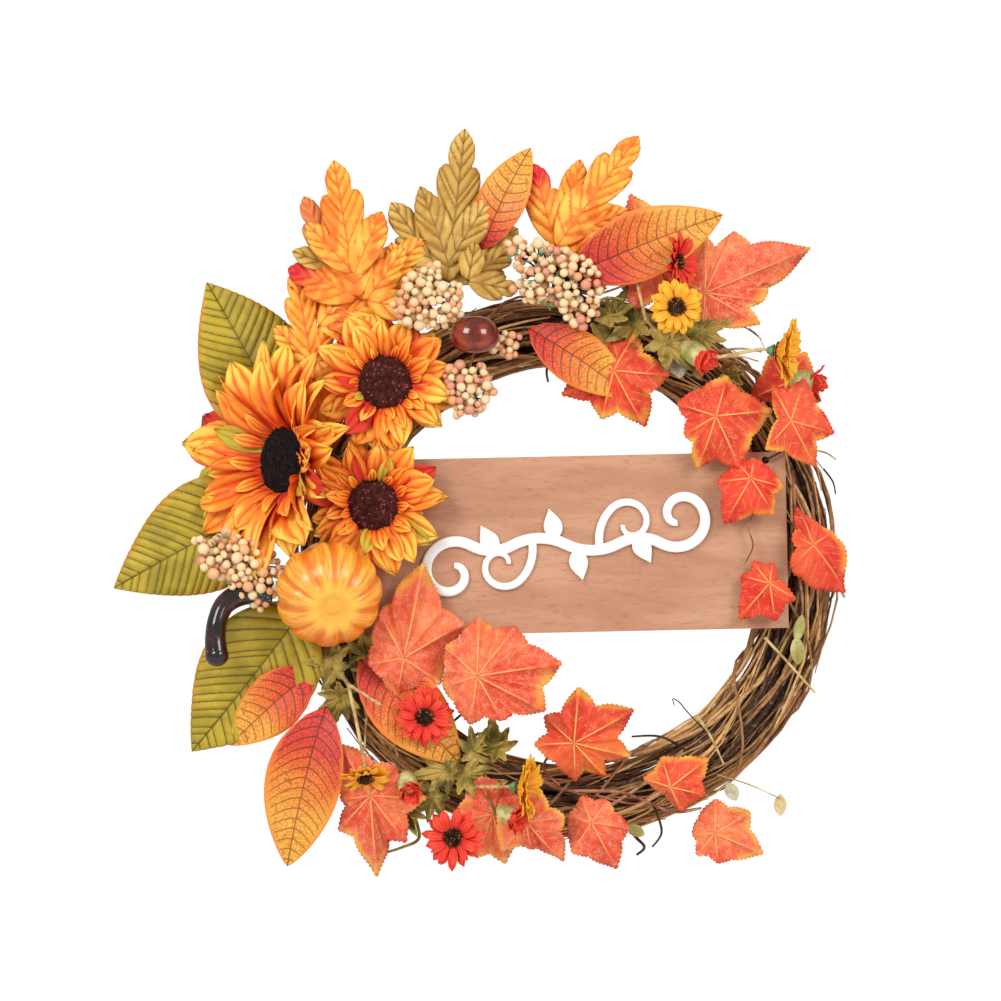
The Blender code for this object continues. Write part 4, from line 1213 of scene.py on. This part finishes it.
def makePumpkin(skin):
    rng = random.Random(7)
    low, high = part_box("pumpkin")
    centre = (low + high) / 2
    out = Vector(pumpkinLook["axis"]).normalized()
    first = Vector((0, 0, 1)) - out * out.z
    first.normalize()
    second = first.cross(out)
    build = newBuild()
    table = []
    ribs, rings, segments = pumpkinLook["ribs"], pumpkinLook["rings"], pumpkinLook["segments"]
    halfWide, halfDeep = mm(pumpkinLook["halfWide"]), mm(pumpkinLook["halfDeep"])
    shift = [rng.uniform(-0.16, 0.16) for _ in range(ribs)]
    for i in range(rings + 1):
        tilt = -math.pi / 2 + math.pi * i / rings
        row = []
        for k in range(segments):
            turn = 2 * math.pi * k / segments
            ribPlace = turn * ribs / (2 * math.pi)
            ribPlace += shift[int(ribPlace) % ribs] * math.sin(math.pi * (ribPlace % 1))
            groove = abs(math.cos(math.pi * ribPlace)) ** 5 * min(1.0, 2.8 * math.cos(tilt))
            wide = math.cos(tilt) ** 0.85 * (1 - pumpkinLook["ribDepth"] * groove)
            dimple = math.exp(-((1 - abs(math.sin(tilt))) / 0.03))
            deep = math.sin(tilt) * (1 - 0.13 * dimple) * (1 - 0.02 * groove)
            side = first * math.cos(turn) + second * math.sin(turn)
            spot = centre + side * halfWide * wide + out * halfDeep * deep
            numbers = (groove, side.z * math.cos(tilt), math.sin(tilt))
            row.append(addPoint(build, spot, (turn, tilt, 0), numbers))
        table.append(row)
    joinRows(build, table, True)
    finishPiece("pumpkinBody", build, [skin], node="pumpkin")
    build = newBuild()
    radii = (mm(pumpkinLook["buttonWide"]), mm(pumpkinLook["buttonDeep"]))
    ball(build, centre + out * halfDeep * 0.83, radii, (0, 0.4, 1), 24, 10, out)
    finishPiece("pumpkinButton", build, [skin])


def glossMaterial(name, dark, warm, speckColour=None):
    made, tree, shader = newMaterial(name, 0.12, 0.6)
    place = own(tree)
    cloud = fade(tree, speck(tree, place, 55, 3, 0.6), 0.42, 0.62)
    body = blendColour(tree, cloud, tint(dark), tint(warm))
    if speckColour:
        dots = fade(tree, cells(tree, place, 420, "F1"), 0.16, 0.08)
        patch = fade(tree, speck(tree, place, 70, 2, 0.5), 0.50, 0.58)
        body = blendColour(tree, times(tree, dots, patch), body, tint(speckColour))
    tree.links.new(body, shader.inputs["Base Color"])
    bump(tree, shader, speck(tree, place, 160, 2, 0.5), 0.12, 0.001)
    return made


hornLook = dict(
    # points of its middle line (right, behind, up), later moved into the CAD part's box
    line=((0, 10, -4), (-12, 9, -4), (-22, 6, -7), (-30, 3, -13), (-34, 0, -23), (-35, -1, -34),
          (-34, -2, -44)),
    root=9.6, narrower=3.6, footWider=1.4,
)


def makeHorn(gloss):
    low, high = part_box("pumpkin_stem")
    line = [Vector(point) * 0.001 for point in hornLook["line"]]
    lowest = Vector([min(point[i] for point in line) for i in range(3)])
    highest = Vector([max(point[i] for point in line) for i in range(3)])
    shift = (low + high) / 2 - (lowest + highest) / 2 + Vector((mm(1.5), mm(2), mm(-2)))
    line = smoothLine([point + shift for point in line], 6)
    radii = []
    for i in range(len(line)):
        share = i / (len(line) - 1)
        narrower = hornLook["narrower"] * math.sin(math.pi / 2 * min(1, share * 1.4))
        radii.append(mm(hornLook["root"] - narrower + hornLook["footWider"] * share ** 4))
    build = newBuild()
    tubeRings(build, line, radii, 20)
    ball(build, line[-1], (radii[-1] * 1.02, radii[-1] * 0.95), (0, 0, 0), 20, 12, line[-1] - line[-3])
    finishPiece("pumpkinHorn", build, [gloss], node="pumpkin_stem")


chestnutLook = dict(deeper=1.25, roundness=0.8, flatBase=0.86)  # shares of the CAD part's box


def makeChestnut(gloss):
    low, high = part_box("chestnut")
    centre = (low + high) / 2
    half = (high - low) / 2
    build = newBuild()
    table = []
    for i in range(25):
        tilt = -math.pi / 2 + math.pi * i / 24
        row = []
        for k in range(36):
            turn = 2 * math.pi * k / 36
            flatten = chestnutLook["flatBase"] if math.sin(tilt) < 0 else 1.0
            reach = math.cos(tilt) ** chestnutLook["roundness"]
            spot = Vector((half.x * reach * math.cos(turn),
                           half.y * chestnutLook["deeper"] * reach * math.sin(turn),
                           half.z * math.sin(tilt) * flatten))
            row.append(addPoint(build, centre + spot, (turn, tilt, 0), (0, 0, 0)))
        table.append(row)
    joinRows(build, table, True)
    finishPiece("chestnutShell", build, [gloss], node="chestnut")


berryClusters = (
    # name, CAD part or None, middle (right, up, ahead), half sizes (wide, tall, deep), slope, berries,
    # smallest and largest radius; the CAD part tells how far ahead its cluster is
    ("berries1", "berry_cluster_1", (-86, 169, 0), (25, 20, 11), 10, 95, (2.0, 3.8)),
    ("berries2", "berry_cluster_2", (-9, 182, 0), (37, 22, 13), -38, 150, (1.9, 3.6)),
    ("berries3", "berry_cluster_3", (-61, 112, 0), (17, 20, 10), -10, 66, (2.0, 3.8)),
    ("berries4", "berry_cluster_4", (-205, 1, 0), (34, 18, 13), -32, 120, (2.0, 3.8)),
    ("berries5", None, (-37, 141, 34), (10, 9, 6), 0, 18, (2.0, 3.4)),
)


# the underside colour is painted shade on each berry's lower side
berryColours = dict(deepCream="E9BF88", cream="F8E2B6", peach="E8A878", pink="DE9478", undersideShade="B8743E")


def berryMaterial():
    made, tree, shader = newMaterial("berrySkin", 0.4, 0.4)
    up = mark(tree, "plan")[2]
    tone = mark(tree, "mark")[1]
    place = own(tree)
    tints = {key: tint(code) for key, code in berryColours.items()}
    body = blendColour(tree, speck(tree, place, 160, 3, 0.6), tints["deepCream"], tints["cream"])
    body = blendColour(tree, fade(tree, tone, 0.52, 0.74), body, tints["peach"])
    body = blendColour(tree, fade(tree, tone, 0.90, 0.95), body, tints["pink"])
    # painted shade: each berry darker on its lower half
    low = fade(tree, plus(tree, up, times(tree, speck(tree, place, 300, 2, 0.5), 0.3)), 0.42, 0.2)
    body = blendColour(tree, times(tree, low, 0.75), body, tints["undersideShade"])
    tree.links.new(body, shader.inputs["Base Color"])
    bump(tree, shader, speck(tree, place, 700, 2, 0.5), 0.15, 0.0004)
    return made


def makeBerries(skin, green, dark):
    for seed, (name, node, middle, half, slope, count, sizes) in enumerate(berryClusters):
        rng = random.Random(300 + seed)
        x, z, ahead = middle
        if node:
            low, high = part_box(node)
            ahead = (ringCentre.y - (low.y + high.y) / 2) * 1000
        centre = at(x, z, ahead)
        wide, tall, deep = (mm(value) for value in half)
        way = slopeWay(slope) * wide
        across = slopeWay(slope + 90) * tall
        build = newBuild()
        stalks = newBuild()
        placed = []
        tries = 0
        while len(placed) < count and tries < 9000:
            tries += 1
            size = mm(rng.uniform(*sizes))
            a, b = rng.uniform(-1, 1), rng.uniform(-1, 1)
            lump = 0.78 + 0.45 * noise.noise(Vector((math.atan2(b, a) * 1.6, seed, 0.5)))
            if math.hypot(a, b) > lump + 0.1:
                continue
            depth = math.sqrt(max(0.0, 1.02 - a * a - b * b)) * rng.uniform(-0.1, 1.0)
            spot = centre + way * a + across * b + Vector((0, -deep * depth, 0))
            if any((spot - other).length < (size + otherSize) * 0.84 for other, otherSize in placed):
                continue
            placed.append((spot, size))
            tilt = Vector((rng.uniform(-1, 1), rng.uniform(-0.6, 0.2), rng.uniform(0.1, 1)))
            ball(build, spot, (size, size * rng.uniform(0.93, 1.05)), (rng.random(), 0, 0), 12, 8, tilt)
            if len(placed) % 2 == 0:
                root = centre + (spot - centre) * 0.25 + Vector((0, mm(6), 0))
                bend = (root + spot) / 2 + Vector((rng.uniform(-1, 1), 0, rng.uniform(-1, 1))) * mm(3)
                tubeRings(stalks, smoothLine([root, bend, spot], 3), mm(0.55), 5)
        finishPiece(name, build, [skin], node=node)
        for _ in range(count // 6):
            a = rng.uniform(0, 2 * math.pi)
            reach = math.sqrt(rng.random()) * 0.8
            foot = centre + way * reach * math.cos(a) + across * reach * math.sin(a)
            foot += Vector((0, -deep * rng.uniform(0.2, 0.8), 0))
            lean = Vector((rng.uniform(-1, 1), -0.5, rng.uniform(-1, 1))).normalized()
            tip = foot + lean * mm(rng.uniform(2, 5))
            tubeRings(stalks, [foot, (foot + tip) / 2, tip], [mm(0.9), mm(1.0), mm(0.3)], 5, finish=1)
        finishPiece(name + "Stalks", stalks, [dark, green])


daisyPetal = dict(slender=0.36, widest=0.64, fullness=0.50, lift=0.12, droop=0.10, grooves=2, groove=0.3,
                  cup=0.3, rows=6, columns=8, notch=0.10, twist=0.12)
daisyDisc = dict(height=2.6, bristles=90, bristleLong=1.7)
daisyCup = ((1.2, 4.4), (2.8, 3.4), (4.6, 2.4), (5.6, 2.0))  # how far behind the middle, and radius
daisyColours = {
    "yellow": dict(start=0.0, end=0.45, root="F08A1C", body="F9A824", tip="FBC438", line=0.5, vary=0.3,
                   oddRed="F39A20", oddGreen="F3C038"),
    "red": dict(start=0.0, end=0.5, root="C21E18", body="EA3526", tip="F6583C", line=0.5, vary=0.3,
                oddRed="C81F1D", oddGreen="F05A40"),
}
daisies = {
    # number: petal reach, disc radius, petals in the two whorls, colour, extra lift in degrees
    1: (20, 4.8, (16, 13), "red", 18),
    2: (18.5, 5.6, (16, 12), "yellow", 4),
    3: (25, 6, (17, 15), "yellow", 40),
    4: (17.5, 5, (15, 12), "yellow", 10),
    5: (19.5, 5.6, (15, 11), "red", 8),
    6: (21, 6, (15, 11), "red", 4),
    7: (23, 6, (17, 15), "yellow", 34),
}


def makeDaisies(petals, seeds, cap):
    joints = {joint["name"]: joint for joint in frame["joints"]}
    for number, (reach, radius, counts, colour, lift) in daisies.items():
        rng = random.Random(400 + number)
        joint = joints[f"daisy_{number}_spin"]
        out = Vector(joint["axis"]).normalized()
        low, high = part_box(f"daisy_{number}")
        middle = (low + high) / 2
        first = out.orthogonal().normalized()
        second = out.cross(first)
        body = f"daisy_{number}_head"
        build = newBuild()
        for layer, count in enumerate(counts):
            for k in range(count):
                turn = 2 * math.pi * (k + 0.5 * layer + rng.uniform(-0.2, 0.2)) / count
                radial = first * math.cos(turn) + second * math.sin(turn)
                slope = math.radians(lift * 0.7 + 12 * layer + rng.uniform(-6, 6))
                along = radial * math.cos(slope) + out * math.sin(slope)
                face = out * math.cos(slope) - radial * math.sin(slope)
                base = middle + radial * mm(radius * 0.5) + out * mm(0.9 * layer - 0.6)
                length = mm((reach * (1 - 0.10 * layer) - radius * 0.5) * rng.uniform(0.88, 1.05))
                petalSheet(build, base, along, face, length, daisyPetal, rng, rng.uniform(0.1, 0.85))
        finishPiece(f"daisyPetals{number}", build, [petals[colour]], body, f"daisy_{number}",
                    0.25)
        build = newBuild()
        discHead(build, middle + out * mm(0.6), out, mm(radius), daisyDisc, rng)
        finishPiece(f"daisyEye{number}", build, [seeds], body)
        build = newBuild()
        line = [middle - out * mm(behind) for behind, _ in daisyCup]
        tubeRings(build, line, [mm(wide) for _, wide in daisyCup], 12)
        finishPiece(f"daisyCup{number}", build, [cap], body)


budLook = dict(petals=18, length=0.95, slender=0.46, cupWide=0.34, cupLong=0.62)  # shares of the bud's size
buds = (
    # middle (right, up, ahead), the way it opens, size, how far its petals spread
    ((84, 132, 44), (0.66, -0.5, -0.55), 22, 0.40),
    ((155, 117, 28), (0.95, -0.25, -0.15), 21, 0.50),
    ((-99, -138, 56), (0.15, -0.75, -0.6), 19, 0.45),
    ((-34, -157, 50), (0.6, -0.6, -0.35), 18, 0.55),
)


def makeBuds(petals, cap):
    look = dict(daisyPetal, slender=budLook["slender"])
    for number, (place, way, size, flare) in enumerate(buds, 1):
        rng = random.Random(500 + number)
        out = Vector(way).normalized()
        foot = at(*place) - out * mm(size * 0.5)
        first = out.orthogonal().normalized()
        second = out.cross(first)
        build = newBuild()
        for k in range(budLook["petals"]):
            turn = 2 * math.pi * k / budLook["petals"] + rng.uniform(-0.2, 0.2)
            radial = first * math.cos(turn) + second * math.sin(turn)
            along = out + radial * flare * rng.uniform(0.3, 1.2)
            base = foot + radial * mm(size * 0.12) + out * mm(2)
            length = mm(size * budLook["length"] * rng.uniform(0.8, 1.0))
            tone = rng.uniform(0.1, 0.85)
            petalSheet(build, base, along, out - radial * 1.2, length, look, rng, tone)
        finishPiece(f"budPetals{number}", build, [petals], thick=0.25)
        build = newBuild()
        wide = mm(size * budLook["cupWide"])
        steps = ((-0.45, 0.25), (-0.2, 0.62), (0.2, 0.95), (0.6, 1.0), (1.0, 0.86))
        line = [foot + out * mm(size * budLook["cupLong"] * step) for step, _ in steps]
        tubeRings(build, line, [wide * share for _, share in steps], 14)
        finishPiece(f"budCup{number}", build, [cap])


foliageLook = dict(pitch=4.5, depth=0.6, bulge=0.07, notch=0.42, fold=0.18, curl=16, cup=3)
foliageLobes = ((0, 1.0), (38, 0.74), (-38, 0.74), (78, 0.60), (-78, 0.60), (150, 0.4), (-150, 0.4))
foliagePlaces = (
    # junction (right, up, ahead), size, slope of the middle lobe, turn of the face
    ((44, 152, 31), 30, 172, (0.0, 0, 0.2)), ((62, 142, 30), 34, -10, (0.1, 0, 0.1)),
    ((84, 148, 30), 26, 20, (0, 0, 0.3)), ((78, 136, 29), 22, -70, (0.2, 0, 0)),
    ((103, 121, 29), 16, -80, (0, 0, 0.2)), ((28, 158, 28), 22, 60, (0, 0, 0.2)),
    ((22, 146, 29), 24, -20, (0, 0, 0.1)), ((-150, -58, 28), 28, 110, (0, 0, 0.1)),
    ((-146, -64, 30), 28, 160, (-0.1, 0, 0)), ((-127, -56, 30), 26, 60, (0.1, 0, 0)),
    ((-119, -66, 34), 30, -105, (0.1, 0, -0.1)), ((-142, -82, 30), 24, 250, (0, 0, 0)),
    ((-118, -60, 32), 22, -20, (0, 0, 0.2)), ((-160, -60, 32), 18, 190, (0, 0, 0.2)),
    ((-74, -128, 32), 30, 190, (0, 0, 0)), ((-58, -118, 29), 26, 60, (0, 0, 0.1)),
    ((-44, -116, 30), 24, 100, (0.1, 0, 0.1)), ((-64, -130, 34), 24, -30, (0, 0, -0.2)),
    ((-84, -146, 28), 26, -140, (0, 0, -0.2)), ((-94, -140, 27), 24, 200, (0, 0, 0)),
    ((-52, -140, 28), 26, -60, (0, 0, 0)), ((-104, -152, 27), 22, -60, (0, 0, 0)),
)


def makeFoliage(material):
    for number, (place, size, slope, turn) in enumerate(foliagePlaces, 1):
        rng = random.Random(600 + number)
        build = newBuild()
        tips = [(slope + off, size * reach * rng.uniform(0.85, 1.1)) for off, reach in foliageLobes]
        junction = at(*place)
        mapleSheet(build, junction, tips, foliageLook, rng, leafFace + Vector(turn))
        settle(build, junction.y)
        finishPiece(f"foliage{number}", build, [material], thick=0.35)


garlands = (
    # garland stems, loose twigs and tendrils: points (right, up, ahead), thickness, material
    (((-22, -129, 24), (-3, -141, 27), (35, -143, 28), (67, -155, 27), (86, -153, 25)), 2.4, "reddish"),
    (((-4, -139, 26), (-14, -127, 25), (-5, -114, 24), (3, -112, 26)), 2.0, "reddish"),
    (((144, 61, 24), (147, 4, 27), (150, -28, 25), (143, -60, 22)), 2.2, "reddish"),
    (((118, 33, 37.5), (115, 25, 36.5), (118, 13, 36.8), (112, 1, 37)), 1.2, "reddish"),
    (((20, -145, 27), (44, -150, 28), (58, -142, 29), (66, -139, 30)), 1.4, "reddish"),
    (((-72, -80, 33), (-64, -90, 30), (-76, -102, 24)), 2.2, "darkTwig"),
    (((-80, -108, 26), (-60, -120, 28), (-48, -122, 27), (-36, -128, 26), (-22, -130, 24)), 2.2, "darkTwig"),
    (((-60, -107, 26), (-46, -106, 28), (-42, -120, 27), (-28, -130, 24)), 1.8, "darkTwig"),
    (((-96, -158, 22), (-93, -172, 26), (-104, -178, 26), (-117, -182, 25)), 2.4, "olive"),
    (((-68, -126, 36), (-52, -142, 38), (-42, -161, 38)), 2.2, "olive"),
    (((-124, -79, 34), (-126, -98, 38), (-127, -116, 38)), 1.7, "tan"),
    (((-123, -79, 35), (-112, -100, 38), (-106, -120, 38)), 1.7, "tan"),
    (((-121, -67, 35), (-110, -74, 39), (-100, -90, 40)), 1.5, "tan"),
    (((20, 172, 33), (35, 177, 36), (52, 186, 34)), 1.6, "tan"),
    (((16, 165, 30), (28, 170, 34), (50, 165, 34)), 2.0, "tan"),
    (((98, 137, 28), (112, 138, 30), (124, 136, 27)), 1.6, "tan"),
    (((97, 132, 29), (110, 133, 31), (122, 130, 27)), 1.3, "tan"),
    (((116, 151, 27), (122, 146, 28), (126, 138, 27)), 0.9, "tan"),
    (((108, 154, 27), (116, 150, 28), (124, 144, 27)), 0.9, "darkTwig"),
    (((-150, -50, 27), (-152, -70, 30), (-147, -98, 28)), 5.0, "olive"),
    (((-143, -48, 24), (-138, -70, 26), (-128, -96, 24)), 5.0, "darkTwig"),
    (((-84, -120, 24), (-70, -134, 26), (-60, -148, 25)), 3.0, "darkTwig"),
    (((-10, 132, 18), (-12, 124, 19), (-11, 117, 19)), 2.0, "darkTwig"),
    (((76, -116, 18), (60, -108, 20), (42, -108, 20)), 1.8, "darkTwig"),
    (((34, -158, 20), (44, -171, 22), (50, -178, 22), (45, -183, 22)), 2.4, "darkTwig"),
    (((56, -152, 20), (61, -168, 22), (55, -178, 22)), 1.8, "darkTwig"),
    (((-10, -162, 18), (-4, -176, 20), (-2, -183, 20)), 2.0, "darkTwig"),
    (((160, 4, 18), (172, -10, 14), (178, -20, 12)), 2.4, "tan"),
    (((92, -108, 16), (78, -93, 18), (72, -86, 20), (68, -84, 22), (69, -88, 24)), 0.9, "darkTwig"),
    (((96, -132, 22), (116, -138, 26), (136, -147, 27)), 1.0, "tan"),
    (((126, -45, 27), (140, -60, 30), (158, -80, 25)), 2.0, "tan"),
    (((83, -94, 27), (92, -108, 30), (100, -125, 26)), 1.9, "tan"),
    (((158, 74, 20), (166, 72, 18), (172, 68, 16)), 1.3, "tan"),
    (((164, 62, 18), (170, 54, 16), (172, 46, 14)), 1.3, "darkTwig"),
)


def makeGarlands(materials):
    builds = {key: newBuild() for key in materials}
    for points, thick, key in garlands:
        line = smoothLine([at(*point) for point in points], 8)
        radii = [mm(thick / 2) * (1 - 0.35 * i / (len(line) - 1)) for i in range(len(line))]
        tubeRings(builds[key], line, radii, 8, lambda share: (0.5, share, 0))
    for key, build in builds.items():
        finishPiece(f"stems{key[0].upper()}{key[1:]}", build, [materials[key]])


dryLook = dict(widest=0.5, fullness=0.7, veinPitch=3, veinLean=40, perVein=2, ridge=0.2, groove=0.2,
               fold=0.25, nod=0.05, curl=6)
dryLeaves = (
    # stem end (right, up, ahead), tip (right, up, ahead), width, material
    ((102, -136, 27), (108, -148, 27), 9, "grey"), ((136, -144, 27), (136, -158, 26), 8, "tan"),
    ((146, -44, 27), (147, -62, 27), 9, "olive"), ((38, -164, 26), (50, -170, 26), 8, "olive"),
    ((70, 138, 34), (72, 119, 38), 13, "grey"), ((-158, 172, 26), (-136, 168, 30), 10, "brown"),
    ((150, -30, 26), (146, -48, 28), 7, "olive"), ((106, 128, 28), (98, 124, 30), 9, "brown"),
)


def makeDryLeaves(materials):
    for number, (start, end, width, key) in enumerate(dryLeaves, 1):
        rng = random.Random(700 + number)
        build = newBuild()
        pinnateSheet(build, at(*start), at(*end), leafFace, dict(dryLook, width=width), rng, 0.3)
        finishPiece(f"dryLeaf{number}", build, [materials[key]], thick=0.3)


floorLook = dict(halfWide=1400, front=500, behind=280, below=150, dark="F4F3F1", pale="FBFAF9")


def makeFloor():
    low, high = cadBounds
    wide = mm(floorLook["halfWide"])
    level = low[2] - mm(floorLook["below"])
    front, rear = low[1] - mm(floorLook["front"]), high[1] + mm(floorLook["behind"])
    mesh = bpy.data.meshes.new("paleFloor")
    corners = [(-wide, front, level), (wide, front, level), (wide, rear, level), (-wide, rear, level)]
    mesh.from_pydata(corners, [], [(0, 1, 2, 3)])
    floor = bpy.data.objects.new("paleFloor", mesh)
    bpy.context.scene.collection.objects.link(floor)
    mesh.materials.append(clothMaterial("paleFloorPaint", floorLook["dark"], floorLook["pale"], 6, 0.7, 60))


setCamera()
setLight()
makeFloor()
bark = vineMaterial()
makeVineRing(bark)
makeBindings(bark)
print("vine ring done")
dress("sign_board", plywoodMaterial())
makeOrnament(paintMaterial())
wire = wireMaterial()
for wiredNode in ("sign_tie_left", "sign_tie_right", "hanger_loop"):
    dress(wiredNode, wire)
print("sign done")

makeBroadLeaves(ridgedMaterial("broadLeaf", broadColours))
makeCarvedLeaves({kind: ridgedMaterial("carved" + kind.capitalize(), look)
                  for kind, look in carvedColours.items()})
makePrintedLeaves(printedMaterial("printedLeaf", printedColours))
makeMapleLeaves({kind: mapleMaterial("maple" + kind.capitalize(), look)
                 for kind, look in mapleLooks.items()})
print("leaves done")

sunSeeds = dict(dark=seedMaterial("darkSeeds", "120C0D", "241818", "3A2A28"),
                velvet=seedMaterial("velvetSeeds", "3E1714", "5E2822", "A8605C"))
makeSunflowers(petalMaterial("sunPetal", sunColours), sunSeeds)
print("sunflowers done")

makePumpkin(pumpkinMaterial())
makeHorn(glossMaterial("hornGloss", "1A0C0B", "35160F", "F2ECE6"))
makeChestnut(glossMaterial("chestnutGloss", "5E1C0C", "9A3A1C"))
green = clothMaterial("capGreen", "3F7A50", "7FA77C", 200, 0.5)
olive = clothMaterial("foliageOlive", "6C6026", "C2A656", 70, 0.5)
darkTwig = clothMaterial("darkTwig", "24150F", "4E3322", 120, 0.7)
tan = clothMaterial("tanStem", "A88A55", "D9C188", 120, 0.6)
makeBerries(berryMaterial(), green, darkTwig)
print("fruit done")

daisyPetals = {kind: petalMaterial("daisy" + kind.capitalize(), look) for kind, look in daisyColours.items()}
makeDaisies(daisyPetals, seedMaterial("daisySeeds", "2A140C", "5C3A22", "B08A4A"), green)
for stem in ("top_spray_stem", "left_spray_stem", "bottom_spray_stem"):
    dress(stem, tan)
makeBuds(daisyPetals["red"], clothMaterial("budGreen", "A39C55", "D6CE95", 120, 0.6))
makeFoliage(olive)
makeGarlands(dict(reddish=clothMaterial("reddishStem", "7A4130", "B37A5C", 90, 0.6), darkTwig=darkTwig,
                  olive=clothMaterial("oliveStem", "7A6A2C", "B3A04E", 90, 0.6), tan=tan))
makeDryLeaves(dict(grey=clothMaterial("dryGrey", "9C917A", "C9C0A4", 90),
                   tan=clothMaterial("dryTan", "B79A62", "DCC48E", 60),
                   olive=clothMaterial("dryOlive", "A39A55", "C9C283", 60),
                   brown=clothMaterial("dryBrown", "5A3318", "8A5A30", 60)))
print("trimmings done")
